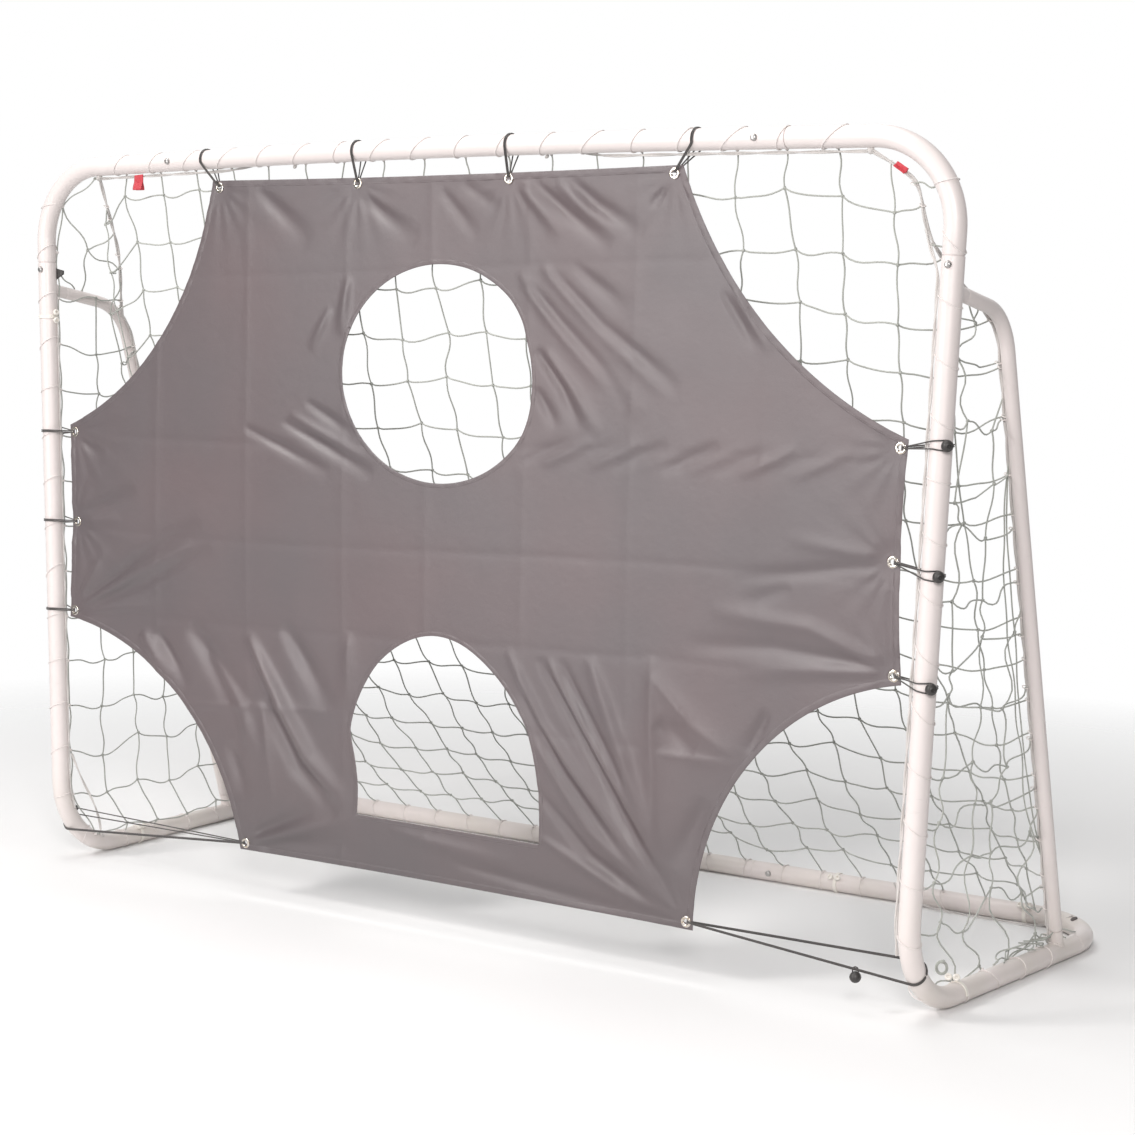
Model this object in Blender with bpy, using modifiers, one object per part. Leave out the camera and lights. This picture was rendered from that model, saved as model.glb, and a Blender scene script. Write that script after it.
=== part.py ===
"""A portable football goal of steel tube, with its net and a target sheet held by ball elastics.

Metres, Z up. The goal faces -Y. Everything hangs from one empty in the plane of the front frame,
so inside the parts y = 0 is that plane, z = 0 is the floor and x = 0 is the middle of the goal.
"""
import math

import bmesh
import bpy
from mathutils import Matrix, Quaternion, Vector

# Overall sizes of the frame
WIDTH = 2.130            # over the uprights, where their lines meet the crossbar's
HEIGHT = 1.483           # top of the crossbar at the corners
DEPTH = 0.841            # front of the uprights to the back of the rear bar
FOOT_DRAW = 0.052        # how far the stretched sheet draws each foot inwards
REAR_SPREAD = 0.055      # how much wider the base is at the back than at the feet
BAR_RISE_ANGLE = math.radians(1.0)   # slope of the crossbar's ends, which bows it upwards

# Tubes
TUBE_R = 0.019
TUBE_WALL = 0.0012
TUBE_SIDES = 16
STAY_R = 0.0125
STAY_WALL = 0.0012
STAY_SIDES = 12
SLIP = 0.0004            # clearance round an end that slides into the next tube
SEAT = 0.0003            # clearance of faces that touch
TOP_BEND_R = 0.150
FOOT_BEND_R = 0.159
REAR_BEND_R = 0.166
STAY_BEND_R = 0.107
BEND_STEPS = 5
ARCH_STEPS = 4           # straight pieces of the bowed crossbar
SWAGE_TAPER = 0.003
CUT_PAST = 0.002         # how far a cutter runs past what it cuts

# Joints between tubes
BAR_JOINT = 0.315        # from the corner to each end of the crossbar
BAR_INSERT = 0.090
BAR_BUTTON_BACK = 0.056
UPRIGHT_JOINT = 0.193    # below the top corner
UPRIGHT_INSERT = 0.034
UPRIGHT_BUTTON_BACK = 0.014
REAR_JOINT_X = 0.250
REAR_INSERT = 0.090
REAR_BUTTON_BACK = 0.040
RAIL_JOINT = 0.183       # along the rail from the rear corner
RAIL_INSERT = 0.045
RAIL_BUTTON_BACK = 0.022

# Side stays and their welded stubs
STAY_TOP = 0.246         # below the top corner
STAY_TOP_REACH = 0.2105  # from the upright's axis back to the stay's bend
STAY_TOP_FALL = 0.034
STAY_FOOT = 0.246        # along the rail from the rear corner
STUB_LENGTH = 0.026      # from the big tube's surface
STUB_INSERT = 0.020
STUB_ROOT = 0.0095       # a stub's inner end, from the big tube's axis

# Snap buttons
BUTTON_R = 0.0060
BUTTON_PROUD = 0.0045
BUTTON_CLEAR = 0.0003
BUTTON_FLANGE_R = 0.0075
BUTTON_FLANGE_TOP = 0.0128   # from the tube's axis
BUTTON_FLANGE_T = 0.0010
BUTTON_STEPS = 12
BUTTON_CROWN_R = 0.0036
BUTTON_CROWN_DROP = 0.0005
BUTTON_SHOULDER_DROP = 0.0027
SPRING_T = 0.0008
SPRING_WIDTH = 0.008
SPRING_LEG = 0.026
SPRING_TAIL = 0.007
SPRING_BACK = 0.0144     # the back leg's distance behind the tube's axis
SPRING_FOLD = 0.003      # how far back the V's fold is rounded
PLUG_R = 0.0070
PLUG_PROUD = 0.0030
PLUG_CROWN_R = 0.0049
PLUG_CROWN_DROP = 0.0009
PLUG_STEM_R = 0.0053
PLUG_REACH = 0.0036      # of its stem, below the tube's surface

# Net
TWINE = 0.0030
NET_COLUMNS = 14
NET_ROOF_ROWS = 3
NET_BACK_ROWS = 7
NET_SIDE_COLUMNS = 4
NET_SIDE_ROWS = 8
NET_TOP_INSET = 0.196    # from the corner to the net's end along the crossbar
NET_MIDDLE_DRAW = 0.110  # how far the net's middle hangs in front of the stays' bends
NET_BELLY = 0.070        # how far the back hangs in from a straight line
NET_BEHIND = 0.010       # the side nets' front edge behind the uprights' axes
NET_SIDE_TOP_DROP = 0.090    # the side nets' upper edge below the crossbar's axis
ROPE_R = 0.0030
ROPE_TOP_INSET = 0.161   # from the corner to the rope's end under the crossbar
ROPE_TOP_DROP = 0.0225   # below the crossbar's axis
ROPE_STEPS = 5

# Target sheet
SHEET_T = 0.0010
SHEET_TOP_DROP = 0.034   # below the top corners
SHEET_BOTTOM = 0.097
SHEET_TOP_HALF = 0.547
SHEET_TOP_SHIFT = -0.021
SHEET_BOTTOM_HALF = 0.533
SHEET_BOTTOM_SHIFT = 0.048
SHEET_SIDE_GAP = 0.076   # from the top corner to the sheet's side edge
SHEET_SIDE_TALL = 0.404
SHEET_SIDE_SHIFTS = {"left": -0.0315, "right": 0.0085}   # of each side edge, up from the sheet's middle
CUT_DEPTHS = {"top_right": 0.068, "bottom_right": 0.115, "bottom_left": 0.103, "top_left": 0.085}
EDGE_HOLLOW = 0.008      # how far the edges between eyelets draw in
HOLE_WIDE = 0.460
HOLE_TALL = 0.408
HOLE_DROP = 0.370        # its middle, below the sheet's top
ARCH_WIDE = 0.450
ARCH_TOP = 0.473         # above the sheet's bottom
ARCH_SPRING = 0.138      # where its sides start to round over
ARCH_BOTTOM = 0.108
ARCH_X = 0.022
SHEET_CELLS_X = 20
SHEET_CELLS_Z = 14
FOLD_DEPTH = 0.012
FOLD_WIDTH = 0.060
FLAT_REACH = 0.125       # the cloth lies flat this far from an eyelet

# Eyelets and ball elastics
EYELET_HOLE_R = 0.0050
EYELET_BARREL_R = 0.0058
EYELET_R = 0.0105
EYELET_LIP = 0.0006
EYELET_STEPS = 8
EYELET_INSET = 0.0135
SIDE_EYELET_STEP = 0.188
TOP_EYELET_INSET = 0.0175    # of the outer ones, from the ends of the top edge
TOP_LOOP_DRAW = (-0.034, 0.0, 0.004, 0.045)   # how far along the bar each top loop is drawn
ELASTIC_R = 0.0020
ELASTIC_SIDES = 6
ELASTIC_ARC_STEPS = 6
BALL_R = 0.0100
BALL_RINGS = 6
BALL_SEGMENTS = 8
FOOT_LOOP_STEP = 2       # the foot bend's corner, counted from the upright, that the lowest elastics hold
BALL_TURNS = {"bar": math.radians(-90), "left": math.radians(-60), "right": math.radians(45),
              "left_foot": math.radians(-60)}
FOOT_BALL_INSET = 0.150  # from the corner's line
FOOT_BALL_Z = 0.058

AXIS_Z = TUBE_R * math.cos(math.pi / TUBE_SIDES)   # a flat of the tube rests on the floor
HALF = WIDTH / 2 - TUBE_R
CORNER_Z = HEIGHT - TUBE_R
AXIS_DEPTH = DEPTH - 2 * TUBE_R
BAR_JOINT_X = HALF - BAR_JOINT
SHEET_TOP = CORNER_Z - SHEET_TOP_DROP
SHEET_MIDDLE = (SHEET_TOP + SHEET_BOTTOM) / 2
SHEET_SIDE_HALF = HALF - SHEET_SIDE_GAP
FRONT_OVERHANG = (TUBE_R + SEAT + BALL_R) * math.sin(BALL_TURNS["right"]) + BALL_R
FRONT_Y = (FRONT_OVERHANG - AXIS_DEPTH - AXIS_Z) / 2
BESIDE_TUBE = TUBE_R + SEAT + TWINE / 2

SIDES = {"left": -1, "right": 1}
X = Vector((1, 0, 0))
Y = Vector((0, 1, 0))
Z = Vector((0, 0, 1))


def clear_scene():
    for obj in list(bpy.data.objects):
        bpy.data.objects.remove(obj)


def collection(name, hidden=False):
    made = bpy.data.collections.new(name)
    bpy.context.scene.collection.children.link(made)
    made.hide_render = hidden
    return made


def material(name, colour, roughness, metallic):
    made = bpy.data.materials.new(name)
    made.use_nodes = True
    shader = made.node_tree.nodes["Principled BSDF"]
    shader.inputs["Base Color"].default_value = (*colour, 1)
    shader.inputs["Roughness"].default_value = roughness
    shader.inputs["Metallic"].default_value = metallic
    return made


def add(name, mesh, finish, smooth_angle=35):
    """A part of the goal, in the frame of the front plane."""
    obj = bpy.data.objects.new(name, mesh)
    PARTS.objects.link(obj)
    obj.parent = ORIGIN
    mesh.materials.clear()
    mesh.materials.append(finish)
    mesh.shade_smooth()
    mesh.set_sharp_from_angle(angle=math.radians(smooth_angle))
    return obj


def cutter(name, mesh):
    obj = bpy.data.objects.new(name, mesh)
    CUTTERS.objects.link(obj)
    obj.parent = ORIGIN
    obj.hide_render = True
    obj.display_type = "WIRE"
    return obj


def combine(obj, other, operation):
    modifier = obj.modifiers.new(operation.title() + "_" + other.name, "BOOLEAN")
    modifier.operation = operation
    modifier.solver = "MANIFOLD"
    modifier.object = other


def filleted(corners, radii, steps=BEND_STEPS):
    """Points along a bent tube's axis: straight runs, with each inner corner rounded."""
    points = [Vector(corners[0])]
    for before, corner, after, radius in zip(corners, corners[1:], corners[2:], radii):
        inward = (before - corner).normalized()
        outward = (after - corner).normalized()
        half = inward.angle(outward) / 2
        reach = radius / math.tan(half)
        centre = corner + (inward + outward).normalized() * radius / math.sin(half)
        spoke = corner + inward * reach - centre
        axis = spoke.cross(corner + outward * reach - centre).normalized()
        for i in range(steps + 1):
            turn = Quaternion(axis, (math.pi - 2 * half) * i / steps)
            points.append(centre + turn @ spoke)
    points.append(Vector(corners[-1]))
    return points


def round_bar(name, points, radii, sides, tilt=0.0, cyclic=False):
    """Mesh of a round bar along the points, with a radius for each of them."""
    curve = bpy.data.curves.new(name, "CURVE")
    curve.dimensions = "3D"
    curve.bevel_depth = 1.0
    curve.bevel_resolution = sides // 2 - 2
    curve.use_fill_caps = not cyclic
    spline = curve.splines.new("POLY")
    spline.points.add(len(points) - 1)
    spline.use_cyclic_u = cyclic
    for knot, place, radius in zip(spline.points, points, radii):
        knot.co = (*place, 1)
        knot.radius = radius
        knot.tilt = tilt
    guide = bpy.data.objects.new(name, curve)
    bpy.context.scene.collection.objects.link(guide)
    graph = bpy.context.evaluated_depsgraph_get()
    mesh = bpy.data.meshes.new_from_object(guide.evaluated_get(graph))
    bpy.data.objects.remove(guide)
    bpy.data.curves.remove(curve)
    bm = bmesh.new()
    bm.from_mesh(mesh)
    bmesh.ops.remove_doubles(bm, verts=bm.verts, dist=1e-6)
    bmesh.ops.recalc_face_normals(bm, faces=bm.faces)
    bm.to_mesh(mesh)
    bm.free()
    mesh.name = name
    return mesh


def swaged(points, radius, start=0.0, end=0.0):
    """Points and radii of a tube whose ends are drawn down to slide into the next tube."""
    slim = radius - TUBE_WALL - SLIP
    points = [Vector(p) for p in points]
    radii = [radius] * len(points)
    if start:
        away = (points[0] - points[1]).normalized()
        points = [points[0] + away * start, points[0], points[0] - away * SWAGE_TAPER] + points[1:]
        radii = [slim, slim] + radii
    if end:
        away = (points[-1] - points[-2]).normalized()
        points = points[:-1] + [points[-1] - away * SWAGE_TAPER, points[-1], points[-1] + away * end]
        radii = radii + [slim, slim]
    return points, radii


def bore(name, points, radii, wall, sides, tilt):
    """Cutter for the inside of a tube, run past both ends."""
    points = [Vector(p) for p in points]
    points[0] += (points[0] - points[1]).normalized() * CUT_PAST
    points[-1] += (points[-1] - points[-2]).normalized() * CUT_PAST
    return cutter(name, round_bar(name, points, [r - wall for r in radii], sides, tilt))


def tube(name, points, radii, wall=TUBE_WALL, sides=TUBE_SIDES, joined=()):
    """A hollow tube; joined are stubs welded on before the bore is cut."""
    tilt = math.pi / sides
    obj = add(name, round_bar(name, points, radii, sides, tilt), PAINT)
    for stub in joined:
        combine(obj, stub, "UNION")
    combine(obj, bore(name + "_bore", points, radii, wall, sides, tilt), "DIFFERENCE")
    return obj


def turned(name, profile):
    """Mesh of a profile of (radius, height) to be turned round Z, given from its top downwards."""
    bm = bmesh.new()
    for radius, height in profile:
        bm.verts.new((radius, 0, height))
    bm.verts.ensure_lookup_table()
    for i in range(len(profile) - 1):
        bm.edges.new((bm.verts[i], bm.verts[i + 1]))
    mesh = bpy.data.meshes.new(name)
    bm.to_mesh(mesh)
    bm.free()
    return mesh


def turn(obj, steps):
    screw = obj.modifiers.new("Turn", "SCREW")
    screw.steps = steps
    screw.render_steps = steps
    screw.use_merge_vertices = True
    screw.merge_threshold = 1e-5
    screw.use_smooth_shade = True


def frame_of(place, outward, along):
    """Matrix whose Z points outward and whose X points along."""
    side = outward.cross(along).normalized()
    rotation = Matrix((along, side, outward)).transposed().to_4x4()
    return Matrix.Translation(place) @ rotation


def side_corners(s):
    """The virtual corners of one side of the frame: top, foot and heel."""
    top = Vector((s * HALF, 0, CORNER_Z))
    foot = Vector((s * (HALF - FOOT_DRAW), 0, AXIS_Z))
    heel = Vector((s * (HALF - FOOT_DRAW + REAR_SPREAD), AXIS_DEPTH, AXIS_Z))
    return top, foot, heel


def upright_at(s, z):
    top, foot, _ = side_corners(s)
    return foot + (top - foot) * (z - foot.z) / (top.z - foot.z)


def rail_at(s, ahead):
    """The point of the rail's axis this far ahead of the rear corner."""
    _, foot, heel = side_corners(s)
    return heel + (foot - heel).normalized() * ahead


def shoulder_of(s):
    """Where the upright meets the top corner."""
    return upright_at(s, CORNER_Z - UPRIGHT_JOINT)


def bar_end(s):
    """Where the crossbar meets a top corner, and the direction from there towards the middle."""
    inward = Vector((-s * math.cos(BAR_RISE_ANGLE), 0, math.sin(BAR_RISE_ANGLE)))
    top = side_corners(s)[0]
    reach = BAR_JOINT / math.cos(BAR_RISE_ANGLE)
    return top + inward * reach, inward


def side_axis(s):
    """The side tube's axis, from the rail's joint round the foot up to the upright's joint."""
    return filleted([rail_at(s, RAIL_JOINT), side_corners(s)[1], shoulder_of(s)], [FOOT_BEND_R])


def bar_z(x):
    """Height of the crossbar's axis over the floor."""
    straight = BAR_JOINT_X - BAR_INSERT
    if abs(x) > straight:
        return CORNER_Z + (HALF - abs(x)) * math.tan(BAR_RISE_ANGLE)
    radius = straight / math.sin(BAR_RISE_ANGLE)
    rise = math.sqrt(radius ** 2 - x ** 2) - radius * math.cos(BAR_RISE_ANGLE)
    return CORNER_Z + (HALF - straight) * math.tan(BAR_RISE_ANGLE) + rise


def stay_corners(s):
    """The stay's axis: at the upright, at its bend and at the rail."""
    at_upright = upright_at(s, CORNER_Z - STAY_TOP)
    bend = at_upright + Vector((0, STAY_TOP_REACH, -STAY_TOP_FALL))
    return at_upright, bend, rail_at(s, STAY_FOOT)


def snap_joint(name, place, outward, along, tubes):
    """A snap button and its leaf spring inside an inserted end; the hole goes through both tubes."""
    matrix = frame_of(place, outward, along)
    height = TUBE_R + BUTTON_PROUD + CUT_PAST - BUTTON_FLANGE_TOP
    bm = bmesh.new()
    bmesh.ops.create_cone(bm, cap_ends=True, segments=BUTTON_STEPS, radius1=BUTTON_R + BUTTON_CLEAR,
                          radius2=BUTTON_R + BUTTON_CLEAR, depth=height,
                          matrix=Matrix.Translation((0, 0, BUTTON_FLANGE_TOP + height / 2)))
    mesh = bpy.data.meshes.new(name + "_hole")
    bm.to_mesh(mesh)
    bm.free()
    hole = cutter(name + "_hole", mesh)
    hole.matrix_local = matrix
    for obj in tubes:
        combine(obj, hole, "DIFFERENCE")

    crown = TUBE_R + BUTTON_PROUD
    flange_under = BUTTON_FLANGE_TOP - BUTTON_FLANGE_T
    profile = [(0, crown), (BUTTON_CROWN_R, crown - BUTTON_CROWN_DROP),
               (BUTTON_R, crown - BUTTON_SHOULDER_DROP), (BUTTON_R, BUTTON_FLANGE_TOP),
               (BUTTON_FLANGE_R, BUTTON_FLANGE_TOP), (BUTTON_FLANGE_R, flange_under), (0, flange_under)]
    button = add(name + "_button", turned(name + "_button", profile), STEEL)
    turn(button, BUTTON_STEPS)
    button.matrix_local = matrix
    spring = add(name + "_spring", leaf_spring(name + "_spring"), STEEL)
    spring.matrix_local = matrix


def leaf_spring(name):
    """Mesh of a V of strip steel: one leg under the button, the other against the tube's far wall."""
    front = BUTTON_FLANGE_TOP - BUTTON_FLANGE_T - SEAT - SPRING_T
    fold = (front - SPRING_BACK) / 2
    line = [(-SPRING_TAIL, front), (SPRING_TAIL, front), (SPRING_LEG - SPRING_FOLD, fold + SPRING_FOLD),
            (SPRING_LEG, fold), (SPRING_LEG - SPRING_FOLD, fold - SPRING_FOLD),
            (-SPRING_TAIL, -SPRING_BACK)]
    bm = bmesh.new()
    verts = [bm.verts.new((x, -SPRING_WIDTH / 2, z)) for x, z in line]
    edges = [bm.edges.new(pair) for pair in zip(verts, verts[1:])]
    strip = bmesh.ops.extrude_edge_only(bm, edges=edges)
    moved = [v for v in strip["geom"] if isinstance(v, bmesh.types.BMVert)]
    bmesh.ops.translate(bm, verts=moved, vec=(0, SPRING_WIDTH, 0))
    bmesh.ops.solidify(bm, geom=bm.faces[:], thickness=SPRING_T)
    bmesh.ops.recalc_face_normals(bm, faces=bm.faces)
    mesh = bpy.data.meshes.new(name)
    bm.to_mesh(mesh)
    bm.free()
    return mesh


def stub(name, axis_point, direction, along):
    """Cutters for a short stay stub welded to a big tube, which runs along: its outside and its bore."""
    inner = axis_point + direction * STUB_ROOT
    outer = axis_point + direction * (TUBE_R + STUB_LENGTH)
    tilt = math.pi / STAY_SIDES
    body = cutter(name, round_bar(name, [inner, outer], [STAY_R] * 2, STAY_SIDES, tilt))
    lean = abs(direction.dot(along))
    clear = TUBE_R + SEAT + (STAY_R - STAY_WALL) * lean
    floor = axis_point + direction * clear / math.sqrt(1 - lean ** 2)
    past = outer + direction * CUT_PAST
    hollow = cutter(name + "_bore", round_bar(name + "_bore", [floor, past],
                                              [STAY_R - STAY_WALL] * 2, STAY_SIDES, tilt))
    return body, hollow


def make_frame():
    """The tubes, from the crossbar down to the base, with the snap joints between them."""
    left_end = bar_end(-1)[0]
    right_end = bar_end(1)[0]
    straight = BAR_JOINT_X - BAR_INSERT
    arch = [Vector((straight * (2 * i / ARCH_STEPS - 1), 0, 0)) for i in range(ARCH_STEPS + 1)]
    for point in arch:
        point.z = bar_z(point.x)
    axis = [left_end] + arch + [right_end]
    crossbar = tube("crossbar", axis, [TUBE_R] * len(axis))
    rear_axis = [Vector((-REAR_JOINT_X, AXIS_DEPTH, AXIS_Z)), Vector((REAR_JOINT_X, AXIS_DEPTH, AXIS_Z))]
    rear_bar = tube("rear_bar", *swaged(rear_axis, TUBE_R, start=REAR_INSERT, end=REAR_INSERT))

    for side, s in SIDES.items():
        top, foot, heel = side_corners(s)
        joint, inward = bar_end(s)
        up = (top - foot).normalized()
        back = (heel - foot).normalized()

        shoulder = shoulder_of(s)
        axis = filleted([joint, top, shoulder], [TOP_BEND_R])
        corner = tube("top_corner_" + side, *swaged(axis, TUBE_R, start=BAR_INSERT, end=UPRIGHT_INSERT))

        at_upright, bend, at_rail = stay_corners(s)
        top_stub = stub("stay_top_stub_" + side, at_upright, (bend - at_upright).normalized(), up)
        foot_stub = stub("stay_foot_stub_" + side, at_rail, (bend - at_rail).normalized(), back)
        axis = side_axis(s)
        side_tube = tube("side_tube_" + side, axis, [TUBE_R] * len(axis),
                         joined=(top_stub[0], foot_stub[0]))
        combine(side_tube, top_stub[1], "DIFFERENCE")
        combine(side_tube, foot_stub[1], "DIFFERENCE")

        inner_end = Vector((s * REAR_JOINT_X, AXIS_DEPTH, AXIS_Z))
        axis = filleted([rail_at(s, RAIL_JOINT), heel, inner_end], [REAR_BEND_R])
        rear_corner = tube("rear_corner_" + side, *swaged(axis, TUBE_R, start=RAIL_INSERT))
        add_plug(side, axis, rear_corner)

        make_stay(side, at_upright, bend, at_rail)

        snap_joint("crossbar_" + side, joint + inward * BAR_BUTTON_BACK, -Y, -inward, (crossbar, corner))
        snap_joint("upright_" + side, shoulder - up * UPRIGHT_BUTTON_BACK, -Y, up, (side_tube, corner))
        snap_joint("rear_bar_" + side, inner_end + X * s * REAR_BUTTON_BACK, -Y, -X * s,
                   (rear_corner, rear_bar))
        snap_joint("rail_" + side, rail_at(s, RAIL_JOINT + RAIL_BUTTON_BACK), Z.cross(back) * s, back,
                   (side_tube, rear_corner))


def make_stay(side, at_upright, bend, at_rail):
    """The bent stay, whose drawn-down ends slide into the stubs."""
    top_way = (bend - at_upright).normalized()
    foot_way = (bend - at_rail).normalized()
    start = at_rail + foot_way * (TUBE_R + STUB_LENGTH)
    end = at_upright + top_way * (TUBE_R + STUB_LENGTH)
    axis = filleted([start, bend, end], [STAY_BEND_R])
    points, radii = swaged(axis, STAY_R, start=STUB_INSERT, end=STUB_INSERT)
    tube("stay_" + side, points, radii, STAY_WALL, STAY_SIDES)


def add_plug(side, axis, corner):
    """A domed plug in the top of the rear bend, over its drain hole."""
    bend = axis[1:-1]
    before = bend[(len(bend) - 1) // 2]
    after = bend[len(bend) // 2]
    middle = (before + after) / 2
    inward = ((bend[0] + bend[-1]) / 2 - middle).normalized()
    facet = 2 * math.pi / TUBE_SIDES
    lean = Z * math.cos(facet) + inward * math.sin(facet)
    matrix = frame_of(middle, lean, (after - before).normalized())
    crown = TUBE_R + PLUG_PROUD
    seat = AXIS_Z + SEAT
    tip = TUBE_R - PLUG_REACH
    profile = [(0, crown), (PLUG_CROWN_R, crown - PLUG_CROWN_DROP), (PLUG_R, seat),
               (PLUG_STEM_R, seat), (PLUG_STEM_R, tip), (0, tip)]
    plug = add("drain_plug_" + side, turned("drain_plug_" + side, profile), BLACK)
    turn(plug, BUTTON_STEPS)
    plug.matrix_local = matrix
    bm = bmesh.new()
    depth = 2 * PLUG_REACH + CUT_PAST
    bmesh.ops.create_cone(bm, cap_ends=True, segments=BUTTON_STEPS, radius1=PLUG_STEM_R + SEAT,
                          radius2=PLUG_STEM_R + SEAT, depth=depth,
                          matrix=Matrix.Translation((0, 0, TUBE_R - TUBE_WALL)))
    mesh = bpy.data.meshes.new("drain_hole_" + side)
    bm.to_mesh(mesh)
    bm.free()
    hole = cutter("drain_hole_" + side, mesh)
    hole.matrix_local = matrix
    combine(corner, hole, "DIFFERENCE")


def rope_path(s):
    """The border rope: from under the crossbar to the stay's bend and down inside the stay."""
    at_upright, bend, at_rail = stay_corners(s)
    beside = Vector((-s * (STAY_R + SEAT + ROPE_R), 0, 0))
    x = HALF - ROPE_TOP_INSET
    top = Vector((s * x, 0, bar_z(x) - ROPE_TOP_DROP))
    down = (at_rail - bend).normalized()
    stay_line = filleted([at_upright, bend, at_rail], [STAY_BEND_R], ROPE_STEPS)
    mid_bend = stay_line[1 + ROPE_STEPS // 2] + beside
    low = at_rail - down * (TUBE_R + SEAT + ROPE_R) + beside
    return [top, top.lerp(mid_bend, 0.5)] + [p + beside for p in stay_line[1 + ROPE_STEPS // 2:-1]] + [low]


def point_at_z(path, z):
    """The point of a descending path at height z, and how steep the path is there."""
    for a, b in zip(path, path[1:]):
        if a.z >= z >= b.z:
            return a.lerp(b, (a.z - z) / (a.z - b.z)), (a.z - b.z) / (a - b).length
    return path[-1].copy(), 1.0


def lattice(name, columns, rows, place):
    """A net: a grid whose points place(u, v) sets, with u and v from 0 to 1, turned into bars of twine."""
    bm = bmesh.new()
    bmesh.ops.create_grid(bm, x_segments=columns, y_segments=rows, size=0.5)
    for vert in bm.verts:
        vert.co = place(vert.co.x + 0.5, vert.co.y + 0.5)
    mesh = bpy.data.meshes.new(name)
    bm.to_mesh(mesh)
    bm.free()
    net = add(name, mesh, NET)
    wire = net.modifiers.new("Twine", "WIREFRAME")
    wire.thickness = TWINE
    wire.use_boundary = True
    wire.use_even_offset = False
    return net


def net_lines(ropes):
    """Functions of u for the back net's top edge, its line at the stays' bends and its bottom edge."""
    inset = SEAT + ROPE_R + TWINE / 2
    bends = {s: ropes[s][3] for s in ropes}
    feet = {s: ropes[s][-1] for s in ropes}

    def top_line(u):
        x = (2 * u - 1) * (HALF - NET_TOP_INSET)
        return Vector((x, 0, bar_z(x) - BESIDE_TUBE))

    def bend_line(u):
        s = -1 if u < 0.5 else 1
        spread = abs(2 * u - 1)
        end = bends[s] + Vector((-s * inset, 0, 0))
        return Vector((end.x * spread, end.y - NET_MIDDLE_DRAW * (1 - spread ** 2), end.z))

    def bottom_line(u):
        s = -1 if u < 0.5 else 1
        spread = abs(2 * u - 1)
        last = 1 - 2 / NET_COLUMNS
        heel = side_corners(s)[2]
        reach = abs(heel.x) - REAR_BEND_R
        rear = Vector((s * reach * min(spread / last, 1), AXIS_DEPTH, AXIS_Z + BESIDE_TUBE))
        end = feet[s] + Vector((-s * inset, 0, 0))
        return rear.lerp(end, max(0, (spread - last) / (1 - last)))

    return top_line, bend_line, bottom_line


def make_nets():
    ropes = {s: rope_path(s) for s in SIDES.values()}
    top_line, bend_line, bottom_line = net_lines(ropes)
    lattice("net_roof", NET_COLUMNS, NET_ROOF_ROWS, lambda u, v: top_line(u).lerp(bend_line(u), 1 - v))
    gap = Vector((0, 0, -(TWINE + SEAT)))

    def back(u, v):
        place = (bend_line(u) + gap).lerp(bottom_line(u), 1 - v)
        belly = NET_BELLY * math.sin(math.pi * v) * (1 - (2 * u - 1) ** 2)
        place.y -= belly
        if u in (0, 1):
            place.y = point_at_z(ropes[1 if u else -1], place.z)[0].y
        return place

    lattice("net_back", NET_COLUMNS, NET_BACK_ROWS, back)

    for side, s in SIDES.items():
        rope = ropes[s]
        beside = math.sqrt(BESIDE_TUBE ** 2 - NET_BEHIND ** 2)
        corner = filleted([bar_end(s)[0], side_corners(s)[0], side_corners(s)[1]], [TOP_BEND_R])
        high = CORNER_Z - NET_SIDE_TOP_DROP
        low = AXIS_Z + NET_BEHIND

        def panel(u, v):
            z = low + (high - low) * v
            front, steep = point_at_z(corner, z)
            front += Vector((-s * beside / steep, NET_BEHIND, 0))
            below_bend = FOOT_BEND_R - (z - AXIS_Z)
            if below_bend > 0:
                front.y += FOOT_BEND_R - math.sqrt(FOOT_BEND_R ** 2 - below_bend ** 2)
            rear = point_at_z(rope, z)[0]
            rear += Vector((-s * (beside - STAY_R - ROPE_R + TWINE / 2), -2 * (ROPE_R + SEAT + TWINE / 2), 0))
            rear.z = z
            return front.lerp(rear, u)

        lattice("net_" + side, NET_SIDE_COLUMNS, NET_SIDE_ROWS, panel)
        add("border_rope_" + side, round_bar("border_rope_" + side, rope, [ROPE_R] * len(rope), 8), ROPE)


def eyelets():
    """Name, x, z and the member that each eyelet's elastic holds on to."""
    found = []
    for i in range(len(TOP_LOOP_DRAW)):
        reach = SHEET_TOP_HALF - TOP_EYELET_INSET
        x = SHEET_TOP_SHIFT + reach * (2 * i / (len(TOP_LOOP_DRAW) - 1) - 1)
        found.append((f"top_{i + 1}", x, SHEET_TOP - EYELET_INSET, "bar"))
    for side, s in SIDES.items():
        middle = SHEET_MIDDLE + SHEET_SIDE_SHIFTS[side]
        for i in range(3):
            drawn = EDGE_HOLLOW if i == 1 else 0
            x = s * (SHEET_SIDE_HALF - drawn - EYELET_INSET)
            found.append((f"{side}_{i + 1}", x, middle + SIDE_EYELET_STEP * (1 - i), side))
    for side, s in SIDES.items():
        x = SHEET_BOTTOM_SHIFT + s * (SHEET_BOTTOM_HALF - EYELET_INSET)
        found.append((f"bottom_{side}", x, SHEET_BOTTOM + EYELET_INSET, side + "_foot"))
    return found


def bowed(start, end, depth, steps):
    """Points of a circular arc from start to end, bowed by depth to the right of that way."""
    chord = end - start
    if abs(depth) < 1e-6:
        return [start]
    radius = (chord.length ** 2 / 4 + depth ** 2) / (2 * depth)
    right = Vector((chord.y, -chord.x)).normalized()
    centre = (start + end) / 2 + right * (depth - radius)
    first = start - centre
    sweep = 2 * math.asin(chord.length / (2 * radius))
    return [centre + Matrix.Rotation(sweep * i / steps, 2) @ first for i in range(steps)]


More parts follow.
